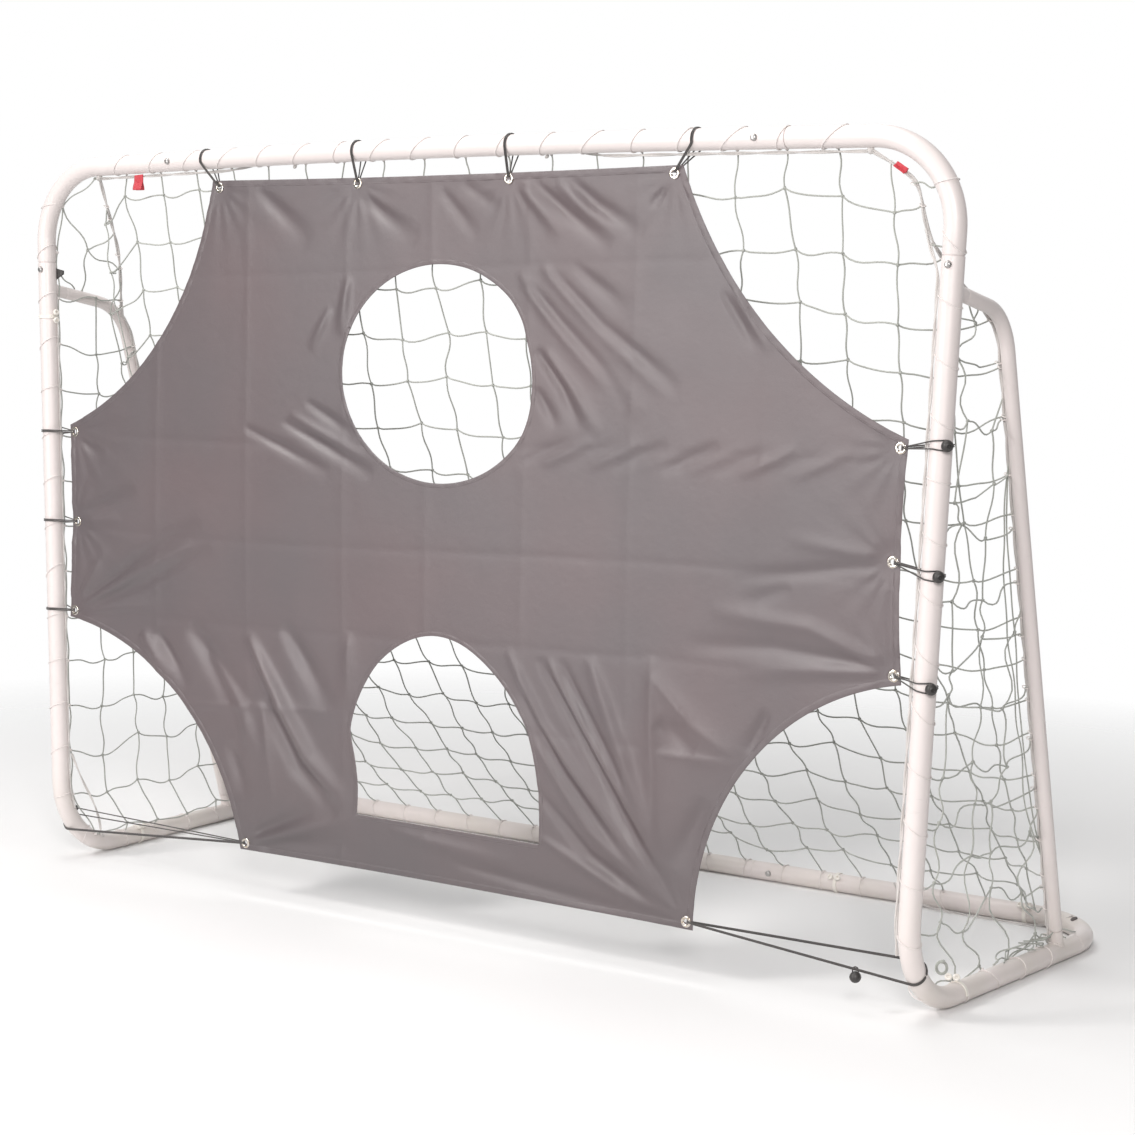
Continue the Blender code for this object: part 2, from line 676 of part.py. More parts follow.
def sheet_outline():
    """The sheet's edge, clockwise from the left end of its top edge."""
    tl = Vector((SHEET_TOP_SHIFT - SHEET_TOP_HALF, SHEET_TOP))
    tr = Vector((SHEET_TOP_SHIFT + SHEET_TOP_HALF, SHEET_TOP))
    bl = Vector((SHEET_BOTTOM_SHIFT - SHEET_BOTTOM_HALF, SHEET_BOTTOM))
    br = Vector((SHEET_BOTTOM_SHIFT + SHEET_BOTTOM_HALF, SHEET_BOTTOM))
    up = Vector((0, SHEET_SIDE_TALL / 2))
    rm = Vector((SHEET_SIDE_HALF, SHEET_MIDDLE + SHEET_SIDE_SHIFTS["right"]))
    lm = Vector((-SHEET_SIDE_HALF, SHEET_MIDDLE + SHEET_SIDE_SHIFTS["left"]))
    rt, rb, lt, lb = rm + up, rm - up, lm + up, lm - up
    rm.x -= EDGE_HOLLOW
    lm.x += EDGE_HOLLOW
    steps = 9
    points = bowed(tl, tr, EDGE_HOLLOW / 2, 4)
    points += bowed(tr, rt, CUT_DEPTHS["top_right"], steps)
    points += bowed(rt, rm, 0, 1) + bowed(rm, rb, 0, 1)
    points += bowed(rb, br, CUT_DEPTHS["bottom_right"], steps)
    points += bowed(br, bl, EDGE_HOLLOW / 2, 3)
    points += bowed(bl, lb, CUT_DEPTHS["bottom_left"], steps)
    points += bowed(lb, lm, 0, 1) + bowed(lm, lt, 0, 1)
    points += bowed(lt, tl, CUT_DEPTHS["top_left"], steps)
    return points


def hole_outlines():
    """The round hole and the arched one."""
    round_hole = []
    for i in range(24):
        angle = 2 * math.pi * i / 24
        z = SHEET_TOP - HOLE_DROP + HOLE_TALL / 2 * math.sin(angle)
        round_hole.append((HOLE_WIDE / 2 * math.cos(angle), z))
    low = SHEET_BOTTOM + ARCH_BOTTOM
    arch = [(ARCH_X - ARCH_WIDE / 2, low), (ARCH_X + ARCH_WIDE / 2, low)]
    rise = ARCH_TOP - ARCH_SPRING
    for i in range(13):
        angle = math.pi * i / 12
        z = SHEET_BOTTOM + ARCH_SPRING + rise * math.sin(angle)
        arch.append((ARCH_X + ARCH_WIDE / 2 * math.cos(angle), z))
    return [round_hole, arch]


def sheet_folds(x, z, rings):
    """How far the cloth stands out of its plane: pulls that run in from its eyelets."""
    depth = 0.0
    pulls = (((0.53, 0.11), (-0.15, 0.95), 1.0), ((-0.44, 0.11), (-0.42, 0.80), -0.9),
             ((0.94, 0.58), (0.20, 0.62), 0.8), ((-0.94, 0.55), (-0.30, 0.80), -0.7),
             ((0.50, 1.41), (0.70, 0.75), -0.8), ((-0.54, 1.41), (0.05, 0.70), 0.5),
             ((0.53, 0.11), (0.45, 0.70), -0.8), ((0.94, 0.95), (0.10, 0.80), 0.6))
    here = Vector((x, z))
    for start, end, height in pulls:
        a = Vector(start)
        run = Vector(end) - a
        along = max(0.0, min(1.0, (here - a).dot(run) / run.length_squared))
        off = (here - a - run * along).length
        depth += FOLD_DEPTH * height * math.sin(math.pi * along ** 0.7) * math.exp(-(off / FOLD_WIDTH) ** 2)
    for ring in rings:
        away = ((here - ring).length - FLAT_REACH) / FLAT_REACH
        away = max(0.0, min(1.0, away))
        depth *= away * away * (3 - 2 * away)
    return depth


def outline_block(name, outline, holes, deep):
    """Mesh of a flat outline with holes, in the XZ plane, deep on both sides of it."""
    curve = bpy.data.curves.new(name, "CURVE")
    curve.dimensions = "2D"
    curve.fill_mode = "BOTH"
    curve.extrude = deep
    for points in [outline] + holes:
        spline = curve.splines.new("POLY")
        spline.points.add(len(points) - 1)
        spline.use_cyclic_u = True
        for knot, place in zip(spline.points, points):
            knot.co = (place[0], place[1], 0, 1)
    guide = bpy.data.objects.new(name, curve)
    bpy.context.scene.collection.objects.link(guide)
    graph = bpy.context.evaluated_depsgraph_get()
    mesh = bpy.data.meshes.new_from_object(guide.evaluated_get(graph))
    bpy.data.objects.remove(guide)
    bpy.data.curves.remove(curve)
    bm = bmesh.new()
    bm.from_mesh(mesh)
    bmesh.ops.remove_doubles(bm, verts=bm.verts, dist=1e-6)
    bmesh.ops.rotate(bm, verts=bm.verts, matrix=Matrix.Rotation(math.pi / 2, 3, "X"))
    bmesh.ops.recalc_face_normals(bm, faces=bm.faces)
    bm.to_mesh(mesh)
    bm.free()
    return mesh


def make_sheet():
    rings = [Vector((x, z)) for _, x, z, _ in eyelets()]
    half_x = SHEET_SIDE_HALF + 2 * EYELET_INSET
    half_z = (SHEET_TOP - SHEET_BOTTOM) / 2 + 2 * EYELET_INSET
    bm = bmesh.new()
    bmesh.ops.create_grid(bm, x_segments=SHEET_CELLS_X, y_segments=SHEET_CELLS_Z, size=1.0)
    for vert in bm.verts:
        x = vert.co.x * half_x
        z = SHEET_MIDDLE + vert.co.y * half_z
        vert.co = (x, -sheet_folds(x, z, rings), z)
    mesh = bpy.data.meshes.new("target_sheet")
    bm.to_mesh(mesh)
    bm.free()
    sheet = add("target_sheet", mesh, CLOTH, smooth_angle=80)
    thick = sheet.modifiers.new("Cloth", "SOLIDIFY")
    thick.thickness = SHEET_T
    thick.offset = 0
    small = []
    for ring in rings:
        turns = [2 * math.pi * i / EYELET_STEPS for i in range(EYELET_STEPS)]
        reach = EYELET_BARREL_R + SEAT
        small.append([(ring.x + reach * math.cos(t), ring.y + reach * math.sin(t)) for t in turns])
    block = cutter("sheet_outline", outline_block("sheet_outline", sheet_outline(), hole_outlines() + small,
                                                  4 * FOLD_DEPTH))
    combine(sheet, block, "INTERSECT")


def make_eyelets():
    lip = SHEET_T / 2 + SEAT
    back = lip + EYELET_LIP
    profile = [(EYELET_HOLE_R, back), (EYELET_R, back), (EYELET_R, lip), (EYELET_BARREL_R, lip),
               (EYELET_BARREL_R, -lip), (EYELET_R, -lip), (EYELET_R, -back), (EYELET_HOLE_R, -back),
               (EYELET_HOLE_R, back)]
    for name, x, z, _ in eyelets():
        ring = add("eyelet_" + name, turned("eyelet_" + name, profile), NICKEL)
        turn(ring, EYELET_STEPS)
        ring.matrix_local = frame_of(Vector((x, 0, z)), -Y, X)


def held_at(name, member, x, z):
    """Where an eyelet's elastic goes round the frame: a point on the tube's axis and the axis's way."""
    if member == "bar":
        x += TOP_LOOP_DRAW[int(name[-1]) - 1]
        return Vector((x, 0, bar_z(x))), X
    if member in SIDES:
        top, foot, _ = side_corners(SIDES[member])
        return upright_at(SIDES[member], z), (top - foot).normalized()
    axis = side_axis(SIDES[member.split("_")[0]])
    at = len(axis) - 2 - FOOT_LOOP_STEP
    return axis[at], (axis[at + 1] - axis[at - 1]).normalized()


def loop_round(centre, axis, ring, ball_turn):
    """A loop from an eyelet round a tube and back behind the sheet, and the place of a ball on it.

    The ball's turn is 0 on the tube's far side, 90 degrees in front and -90 degrees behind.
    """
    way = (centre - ring) - axis * (centre - ring).dot(axis)
    reach = way.length
    way.normalize()
    front = way.cross(axis)
    if front.y > 0:
        front = -front
    belt = TUBE_R + SEAT + ELASTIC_R
    touch = math.acos(belt / reach)
    sweep = 2 * (math.pi - touch)
    belt /= math.cos(sweep / ELASTIC_ARC_STEPS / 2)
    lip = SHEET_T / 2 + SEAT + EYELET_LIP + SEAT + ELASTIC_R
    leave = ring + (centre - ring).normalized() * ELASTIC_R
    points = [ring.copy(), leave - Y * lip]
    for i in range(ELASTIC_ARC_STEPS + 1):
        angle = math.pi - touch - sweep * i / ELASTIC_ARC_STEPS
        points.append(centre + way * belt * math.cos(angle) + front * belt * math.sin(angle))
    points.append(leave + Y * lip)
    ball_way = way * math.cos(ball_turn) + front * math.sin(ball_turn)
    return points, centre + ball_way * (TUBE_R + SEAT + BALL_R)


def make_elastics():
    """Each elastic is one loop through its eyelet and round its tube, with its ball on it."""
    for name, x, z, member in eyelets():
        centre, axis = held_at(name, member, x, z)
        points, ball_at = loop_round(centre, axis, Vector((x, 0, z)), BALL_TURNS.get(member, 0))
        if member == "right_foot":
            ball_at = Vector((HALF - FOOT_BALL_INSET, points[2].y, FOOT_BALL_Z))
            points.insert(2, ball_at)
        mesh = round_bar("elastic_" + name, points, [ELASTIC_R] * len(points), ELASTIC_SIDES, cyclic=True)
        loop = add("elastic_" + name, mesh, BLACK)
        bm = bmesh.new()
        bmesh.ops.create_uvsphere(bm, u_segments=BALL_SEGMENTS, v_segments=BALL_RINGS, radius=BALL_R,
                                  matrix=Matrix.Translation(ball_at))
        mesh = bpy.data.meshes.new("ball_" + name)
        bm.to_mesh(mesh)
        bm.free()
        combine(loop, cutter("ball_" + name, mesh), "UNION")


clear_scene()
PARTS = collection("sports_goal")
CUTTERS = collection("cutters", hidden=True)
ORIGIN = bpy.data.objects.new("front_plane", None)
PARTS.objects.link(ORIGIN)
ORIGIN.location = (0, FRONT_Y, 0)

PAINT = material("white_powder_coat", (0.86, 0.83, 0.82), 0.35, 0.0)
STEEL = material("spring_steel", (0.72, 0.72, 0.74), 0.25, 1.0)
NICKEL = material("nickel", (0.78, 0.72, 0.62), 0.25, 1.0)
NET = material("net_twine", (0.80, 0.80, 0.78), 0.8, 0.0)
ROPE = material("border_rope", (0.82, 0.81, 0.78), 0.8, 0.0)
CLOTH = material("grey_cloth", (0.22, 0.20, 0.20), 0.6, 0.0)
BLACK = material("black_elastic", (0.03, 0.03, 0.03), 0.6, 0.0)

make_frame()
make_nets()
make_sheet()
make_eyelets()
make_elastics()
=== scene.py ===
"""Looks of a portable football goal: painted tubes, knotted net, stretched target sheet, ball elastics.

Metres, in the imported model's frame: Z up, the goal faces -Y.
"""

import math
import random

import bmesh
import bpy
import numpy as np
from mathutils import Matrix, Quaternion, Vector
from mathutils.geometry import delaunay_2d_cdt
from mathutils.kdtree import KDTree


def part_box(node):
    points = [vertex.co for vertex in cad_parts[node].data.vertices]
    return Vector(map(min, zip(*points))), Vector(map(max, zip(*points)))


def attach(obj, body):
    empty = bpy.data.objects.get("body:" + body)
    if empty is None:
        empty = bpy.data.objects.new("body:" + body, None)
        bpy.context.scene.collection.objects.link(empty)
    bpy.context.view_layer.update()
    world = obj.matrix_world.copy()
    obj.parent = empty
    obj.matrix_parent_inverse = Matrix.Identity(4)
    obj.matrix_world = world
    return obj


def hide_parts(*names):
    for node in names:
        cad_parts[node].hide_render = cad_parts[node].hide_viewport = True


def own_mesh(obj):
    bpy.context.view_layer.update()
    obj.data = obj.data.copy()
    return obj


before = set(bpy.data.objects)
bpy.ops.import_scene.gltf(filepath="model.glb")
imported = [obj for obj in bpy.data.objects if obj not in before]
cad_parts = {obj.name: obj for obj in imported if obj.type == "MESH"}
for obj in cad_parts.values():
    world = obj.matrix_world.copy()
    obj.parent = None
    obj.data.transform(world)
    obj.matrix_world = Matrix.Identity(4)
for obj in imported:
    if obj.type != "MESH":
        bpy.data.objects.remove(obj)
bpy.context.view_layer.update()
low_corner, high_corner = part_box("crossbar")
FRONT_Y = (low_corner.y + high_corner.y) / 2     # the plane of the uprights' axes

# The frame's sizes, as the solids have them
WIDTH = 2.130
HEIGHT = 1.483
DEPTH = 0.841
FOOT_DRAW = 0.052
REAR_SPREAD = 0.055
BAR_RISE_ANGLE = math.radians(1.0)
TUBE_R = 0.019
TUBE_WALL = 0.0012
STAY_R = 0.0125
STAY_WALL = 0.0012
SLIP = 0.0004
SEAT = 0.0003
TOP_BEND_R = 0.150
FOOT_BEND_R = 0.159
REAR_BEND_R = 0.166
STAY_BEND_R = 0.107
BAR_JOINT = 0.315
BAR_INSERT = 0.090
BAR_BUTTON_BACK = 0.056
UPRIGHT_JOINT = 0.193
UPRIGHT_INSERT = 0.034
UPRIGHT_BUTTON_BACK = 0.014
REAR_JOINT_X = 0.250
REAR_INSERT = 0.090
REAR_BUTTON_BACK = 0.040
RAIL_JOINT = 0.183
RAIL_INSERT = 0.045
RAIL_BUTTON_BACK = 0.022
STAY_TOP = 0.246
STAY_TOP_REACH = 0.2105
STAY_TOP_FALL = 0.034
STAY_FOOT = 0.246
STUB_LENGTH = 0.026
STUB_INSERT = 0.020
BUTTON_R = 0.0060
BUTTON_PROUD = 0.0045
BUTTON_CLEAR = 0.0003
BUTTON_FLANGE_R = 0.0075
BUTTON_FLANGE_TOP = 0.0128
BUTTON_FLANGE_T = 0.0010
PLUG_R = 0.0070
PLUG_PROUD = 0.0030
PLUG_STEM_R = 0.0053
PLUG_REACH = 0.0036
ROPE_TOP_INSET = 0.161
ROPE_TOP_DROP = 0.0225
SHEET_TOP_DROP = 0.034
SHEET_BOTTOM = 0.097
SHEET_TOP_HALF = 0.547
SHEET_TOP_SHIFT = -0.021
SHEET_BOTTOM_HALF = 0.533
SHEET_BOTTOM_SHIFT = 0.048
SHEET_SIDE_GAP = 0.076
SHEET_SIDE_TALL = 0.404
SHEET_SIDE_SHIFTS = {"left": -0.0315, "right": 0.0085}
CUT_DEPTHS = {"top_right": 0.068, "bottom_right": 0.115, "bottom_left": 0.103, "top_left": 0.085}
EDGE_HOLLOW = 0.008
HOLE_WIDE = 0.460
HOLE_TALL = 0.408
HOLE_DROP = 0.370
ARCH_WIDE = 0.450
ARCH_TOP = 0.473
ARCH_SPRING = 0.138
ARCH_BOTTOM = 0.108
ARCH_X = 0.022
EYELET_HOLE_R = 0.0050
EYELET_R = 0.0105
EYELET_INSET = 0.0135
SIDE_EYELET_STEP = 0.188
TOP_EYELET_INSET = 0.0175
TOP_LOOP_DRAW = (-0.034, 0.0, 0.004, 0.045)
BALL_R = 0.0100
BALL_TURNS = {"bar": math.radians(-90), "left": math.radians(-60), "right": math.radians(45),
              "left_foot": math.radians(-60)}
FOOT_BALL_INSET = 0.150

AXIS_Z = TUBE_R * math.cos(math.pi / 16)
HALF = WIDTH / 2 - TUBE_R
CORNER_Z = HEIGHT - TUBE_R
AXIS_DEPTH = DEPTH - 2 * TUBE_R
BAR_JOINT_X = HALF - BAR_JOINT
SHEET_TOP = CORNER_Z - SHEET_TOP_DROP
SHEET_MIDDLE = (SHEET_TOP + SHEET_BOTTOM) / 2
SHEET_SIDE_HALF = HALF - SHEET_SIDE_GAP
REAR_Y = FRONT_Y + AXIS_DEPTH

# How finely the looks are made
TUBE_SIDES = 48
STAY_SIDES = 40
BEND_STEPS = 28
LATHE_STEPS = 40
AXIS_POINT = 1e-4            # the radius that stands for a point on a lathe's axis

# The camera, where the photograph was taken from
CAMERA_AT = (2.6774, FRONT_Y - 3.4735, 1.111)
CAMERA_YAW = 0.6002
CAMERA_PITCH = 0.0928
CAMERA_ROLL = 0.0185
CAMERA_LENS = 74.39
CAMERA_SENSOR = 36.0
ROOM_LIGHT = 0.26            # of the room round the white backdrop
FLOOR_REACH = 3.6

# Name, place, target, size, power and colour
LIGHTS = (
    ("key", (-2.2, -4.0, 4.1), (0.2, FRONT_Y, 0.7), (1.4, 1.2), 134, (1.0, 0.975, 0.96)),
    ("sheen", (-1.4, -4.1, 1.3), (0.6, FRONT_Y, 0.9), (1.3, 1.5), 55, (1.0, 0.965, 0.96)),
    ("fill", (2.9, -4.1, 2.3), (0.5, FRONT_Y, 0.7), (1.1, 1.1), 128, (1.0, 0.970, 0.960)),
    ("overhead", (-0.4, -0.3, 4.2), (-0.1, 0.0, 0.0), (3.4, 2.2), 68, (1.0, 0.99, 0.98)),
)

SIDES = {"left": -1, "right": 1}
X = Vector((1, 0, 0))
Y = Vector((0, 1, 0))
Z = Vector((0, 0, 1))
chance = random.Random(7)


def shares(steps):
    """Even shares from 0 to 1."""
    return [i / steps for i in range(steps + 1)]


def turns(steps):
    """Even angles once round."""
    return [2 * math.pi * i / steps for i in range(steps)]


def placed(name, data):
    obj = bpy.data.objects.new(name, data)
    bpy.context.scene.collection.objects.link(obj)
    return obj


# Camera, light and floor

def make_camera():
    yaw_cos, yaw_sin = math.cos(CAMERA_YAW), math.sin(CAMERA_YAW)
    pitch_cos, pitch_sin = math.cos(CAMERA_PITCH), math.sin(CAMERA_PITCH)
    roll_cos, roll_sin = math.cos(CAMERA_ROLL), math.sin(CAMERA_ROLL)
    forward = Vector((-yaw_sin * pitch_cos, yaw_cos * pitch_cos, -pitch_sin))
    level = Vector((yaw_cos, yaw_sin, 0))
    upright = level.cross(forward)
    right = level * roll_cos + upright * roll_sin
    up = upright * roll_cos - level * roll_sin
    data = bpy.data.cameras.new("camera")
    data.lens = CAMERA_LENS
    data.sensor_width = CAMERA_SENSOR
    camera = placed("camera", data)
    turn = Matrix((right, up, -forward)).transposed().to_4x4()
    camera.matrix_world = Matrix.Translation(CAMERA_AT) @ turn
    bpy.context.scene.camera = camera


def area_light(name, place, target, size, power, colour):
    data = bpy.data.lights.new(name, "AREA")
    data.shape = "RECTANGLE"
    data.size, data.size_y = size
    data.energy = power
    data.color = colour
    light = placed(name, data)
    light.location = place
    light.rotation_euler = (Vector(target) - Vector(place)).to_track_quat("-Z", "Y").to_euler()


def make_world():
    """A white backdrop behind the goal, and a dimmer room round the rest."""
    world = bpy.data.worlds.new("studio")
    world.use_nodes = True
    n = Nodes(world.node_tree, "Background")
    n.give(n.shader.inputs["Color"], (1.0, 1.0, 1.0))
    behind = (-math.sin(CAMERA_YAW), math.cos(CAMERA_YAW), 0)
    toward = n.add("VectorMath", "Value", {0: n.coords["Generated"], 1: behind}, operation="DOT_PRODUCT")
    fade = {"Value": toward, "From Min": 0.45, "From Max": 0.88, "To Min": ROOM_LIGHT, "To Max": 1.0}
    n.set("Strength", n.add("MapRange", "Result", fade, interpolation_type="SMOOTHSTEP"))
    bpy.context.scene.world = world
    bpy.context.scene.view_settings.view_transform = "Standard"


def make_floor():
    """A pale round floor that fades out into the backdrop."""
    rim = [(FLOOR_REACH * math.cos(a), FLOOR_REACH * math.sin(a), 0) for a in turns(96)]
    mesh = bpy.data.meshes.new("floor")
    mesh.from_pydata(rim, [], [tuple(range(len(rim)))])
    floor = placed("floor", mesh)
    floor.location.z = AXIS_Z - TUBE_R - 0.0002
    finish, n = principled("floor_white", (0.87, 0.87, 0.87), 0.9)
    far = n.add("VectorMath", "Value", {0: n.coords["Object"]}, operation="LENGTH")
    n.set("Alpha", n.ramp(n.math("DIVIDE", far, FLOOR_REACH), (0.36, 1.0), (0.95, 0.0)))
    mesh.materials.append(finish)


# Materials

class Nodes:
    """Short ways to add and join the nodes of one material or world."""

    def __init__(self, tree, shader="Principled BSDF"):
        self.tree = tree
        self.shader = tree.nodes[shader]
        self.coords = tree.nodes.new("ShaderNodeTexCoord").outputs

    def give(self, socket, value):
        """A number, a colour, a vector or another node's output for a socket."""
        if isinstance(value, bpy.types.NodeSocket):
            self.tree.links.new(value, socket)
        else:
            socket.default_value = (*value, 1) if socket.type == "RGBA" else value

    def set(self, name, source):
        self.give(self.shader.inputs[name], source)

    def add(self, kind, result, inputs, **settings):
        """A new node with these settings and inputs. Returns one of its outputs."""
        node = self.tree.nodes.new("ShaderNode" + kind)
        for key, value in settings.items():
            setattr(node, key, value)
        for key, value in inputs.items():
            self.give(node.inputs[key], value)
        return node.outputs[result]

    def scaled(self, scale, source="Object"):
        return self.add("Mapping", "Vector", {"Scale": scale, "Vector": self.coords[source]})

    def noise(self, scale, detail=2.0, vector=None, roughness=0.5):
        inputs = {"Scale": scale, "Detail": detail, "Roughness": roughness}
        inputs["Vector"] = vector or self.coords["Object"]
        return self.add("TexNoise", "Fac", inputs)

    def waves(self, scale, direction, vector=None):
        inputs = {"Scale": scale, "Distortion": 0.0, "Vector": vector or self.coords["Object"]}
        return self.add("TexWave", "Fac", inputs, bands_direction=direction)

    def math(self, operation, first, second):
        return self.add("Math", "Value", {0: first, 1: second}, operation=operation)

    def times(self, first, second):
        return self.math("MULTIPLY", first, second)

    def ramp(self, source, *stops):
        """The source through two (place, grey) stops."""
        result = self.add("ValToRGB", "Color", {"Fac": source})
        for element, (place, grey) in zip(result.node.color_ramp.elements, stops):
            element.position = place
            element.color = (grey, grey, grey, 1)
        return result

    def mix(self, share, first, second):
        """Two colours mixed. A mix node holds its colours in inputs 6 and 7, and the result in output 2."""
        return self.add("Mix", 2, {0: share, 6: first, 7: second}, data_type="RGBA")

    def bump(self, height, strength, distance, after=None):
        inputs = {"Strength": strength, "Distance": distance, "Height": height}
        if after:
            inputs["Normal"] = after
        return self.add("Bump", "Normal", inputs)

    def position(self, axis):
        return self.add("SeparateXYZ", axis, {"Vector": self.coords["Object"]})


def principled(name, colour, roughness, metallic=0.0, **more):
    """A new material and its nodes."""
    made = bpy.data.materials.new(name)
    made.use_nodes = True
    made.diffuse_color = (*colour, 1)
    n = Nodes(made.node_tree)
    n.set("Base Color", colour)
    n.set("Roughness", roughness)
    n.set("Metallic", metallic)
    for key, value in more.items():
        n.set(key.replace("_", " "), value)
    return made, n


def powder_coat():
    """White powder coat: faint orange peel, soft colour drift, scuffs and grime low down."""
    made, n = principled("powder_coat", (0.74, 0.68, 0.66), 0.40, Coat_Weight=0.10, Coat_Roughness=0.3)
    clean = n.mix(n.noise(2.2, 3), (0.740, 0.670, 0.657), (0.712, 0.662, 0.642))
    marks = n.ramp(n.noise(38, 4, n.scaled((1, 1, 7)), 0.65), (0.66, 0.0), (0.74, 1.0))
    scuffed = n.mix(n.times(marks, 0.16), clean, (0.47, 0.43, 0.40))
    near_floor = n.ramp(n.times(n.position("Z"), 2.0), (0.0, 1.0), (0.55, 0.0))
    patches = n.ramp(n.noise(9, 4, roughness=0.6), (0.35, 0.15), (0.7, 1.0))
    grime = n.times(n.times(near_floor, patches), 0.42)
    n.set("Base Color", n.mix(grime, scuffed, (0.56, 0.53, 0.45)))
    n.set("Roughness", n.ramp(n.noise(14, 3), (0.3, 0.33), (0.75, 0.46)))
    peel = n.bump(n.noise(900, 2), 0.10, 0.0004)
    n.set("Normal", n.bump(n.noise(60, 3), 0.05, 0.002, peel))
    return made


def zinc():
    made, n = principled("zinc_plate", (0.50, 0.49, 0.48), 0.36, 1.0)
    n.set("Base Color", n.mix(n.noise(160, 3), (0.56, 0.55, 0.54), (0.42, 0.41, 0.40)))
    n.set("Roughness", n.ramp(n.noise(420, 3), (0.3, 0.30), (0.8, 0.44)))
    n.set("Normal", n.bump(n.noise(2600, 2), 0.12, 0.0002))
    return made


def spring_steel():
    made, n = principled("spring_steel", (0.42, 0.42, 0.44), 0.34, 1.0)
    n.set("Base Color", n.mix(n.noise(90, 3), (0.46, 0.46, 0.48), (0.34, 0.32, 0.30)))
    n.set("Normal", n.bump(n.noise(1400, 2, n.scaled((1, 9, 1))), 0.1, 0.0002))
    return made


def nickel():
    """Plated brass eyelets, a little worn to the brass."""
    made, n = principled("nickel_plate", (0.78, 0.72, 0.64), 0.22, 1.0)
    worn = n.ramp(n.noise(240, 4, roughness=0.6), (0.5, 0.0), (0.72, 1.0))
    n.set("Base Color", n.mix(worn, (0.66, 0.62, 0.57), (0.50, 0.38, 0.25)))
    n.set("Roughness", n.ramp(n.noise(700, 3), (0.3, 0.16), (0.8, 0.34)))
    return made


def plastic(name, colour, dark, roughness):
    made, n = principled(name, colour, roughness)
    n.set("Base Color", n.mix(n.noise(120, 3), colour, dark))
    n.set("Normal", n.bump(n.noise(1500, 3), 0.15, 0.0002))
    return made


def cord_finish(name, light, dark, turns_a_metre, roughness, depth, braid=False):
    """Twisted or braided cord: the map's U runs along the cord in metres, and V once round it."""
    made, n = principled(name, light, roughness, Sheen_Weight=0.25, Sheen_Roughness=0.6)
    once_round = 3.14159
    spiral = n.waves(1.0, "DIAGONAL", n.scaled((turns_a_metre, once_round, 0), "UV"))
    if braid:
        other = n.waves(1.0, "DIAGONAL", n.scaled((turns_a_metre, -once_round, 0), "UV"))
        spiral = n.math("MAXIMUM", spiral, other)
    relief = n.math("ADD", n.times(spiral, 0.8), n.times(n.noise(1700, 3), 0.4))
    stained = n.mix(n.ramp(n.noise(26, 3), (0.35, 0.0), (0.7, 0.5)), light, dark)
    # Painted shade in the grooves between the strands: where the spiral is low, the colour goes towards the
    # dark shade.
    n.set("Base Color", n.mix(n.times(n.math("SUBTRACT", 1.0, spiral), 0.55), stained, dark))
    n.set("Normal", n.bump(relief, 0.6, depth))
    return made


def woven_cloth():
    """Grey coated polyester: fine weave, satin sheen, a faint warm drift, and painted shade that darkens it
    low down.
    """
    made, n = principled("grey_polyester", (0.130, 0.113, 0.118), 0.42, Specular_IOR_Level=0.85)
    thread = n.times(n.waves(430, "X"), n.waves(430, "Z"))
    drift = n.ramp(n.noise(3.1, 3), (0.35, 0.0), (0.68, 1.0))
    colour = n.mix(drift, (0.109, 0.090, 0.095), (0.127, 0.094, 0.098))
    slubs = n.noise(160, 2, n.scaled((1, 1, 14)))
    colour = n.mix(n.times(slubs, 0.16), colour, (0.078, 0.070, 0.074))
    colour = n.mix(n.times(thread, 0.22), colour, (0.155, 0.137, 0.139))
    # Painted shade: the cloth's colour is darkened towards the bottom, where less light falls on it.
    painted_low_shade = n.ramp(n.times(n.position("Z"), 0.66), (0.05, 0.42), (0.30, 0.0))
    n.set("Base Color", n.mix(painted_low_shade, colour, (0.046, 0.042, 0.044)))
    n.set("Roughness", n.ramp(n.noise(5, 3), (0.3, 0.36), (0.75, 0.46)))
    weave = n.bump(thread, 0.25, 0.00025)
    n.set("Normal", n.bump(n.noise(34, 5, roughness=0.62), 0.30, 0.0022, weave))
    return made


def red_ribbon():
    made, n = principled("red_ribbon", (0.62, 0.03, 0.05), 0.55, Sheen_Weight=0.3)
    weave = n.times(n.waves(500, "X"), n.waves(500, "Z"))
    n.set("Base Color", n.mix(weave, (0.46, 0.02, 0.035), (0.66, 0.055, 0.075)))
    n.set("Normal", n.bump(weave, 0.3, 0.0003))
    return made


# Meshes

def array_of(points):
    return np.array([tuple(p) for p in points], float)


def run_of(place):
    """How far along the line each of its points lies."""
    return np.concatenate([[0], np.cumsum(np.linalg.norm(np.diff(place, axis=0), axis=1))])


def length_of(line):
    return sum((b - a).length for a, b in zip(line, line[1:]))


def frames_along(points, closed=False):
    """Places, ways, normals and sides along a line, turned as little as they can be."""
    place = array_of(points)
    if closed:
        way = np.roll(place, -1, 0) - np.roll(place, 1, 0)
    else:
        way = np.gradient(place, axis=0)
    way /= np.linalg.norm(way, axis=1)[:, None]
    last = np.array((0, 0, 1), float)
    if abs(last @ way[0]) > 0.95:
        last = np.array((1, 0, 0), float)
    normal = np.empty_like(way)
    for i, t in enumerate(way):
        last = last - t * (last @ t)
        last = last / np.linalg.norm(last)
        normal[i] = last
    if closed:
        end = normal[-1] - way[0] * (normal[-1] @ way[0])
        end /= np.linalg.norm(end)
        slip = math.atan2(np.cross(end, normal[0]) @ way[0], end @ normal[0])
        angle = (slip * np.arange(len(place)) / len(place))[:, None]
        normal = normal * np.cos(angle) + np.cross(way, normal) * np.sin(angle)
    return place, way, normal, np.cross(way, normal)


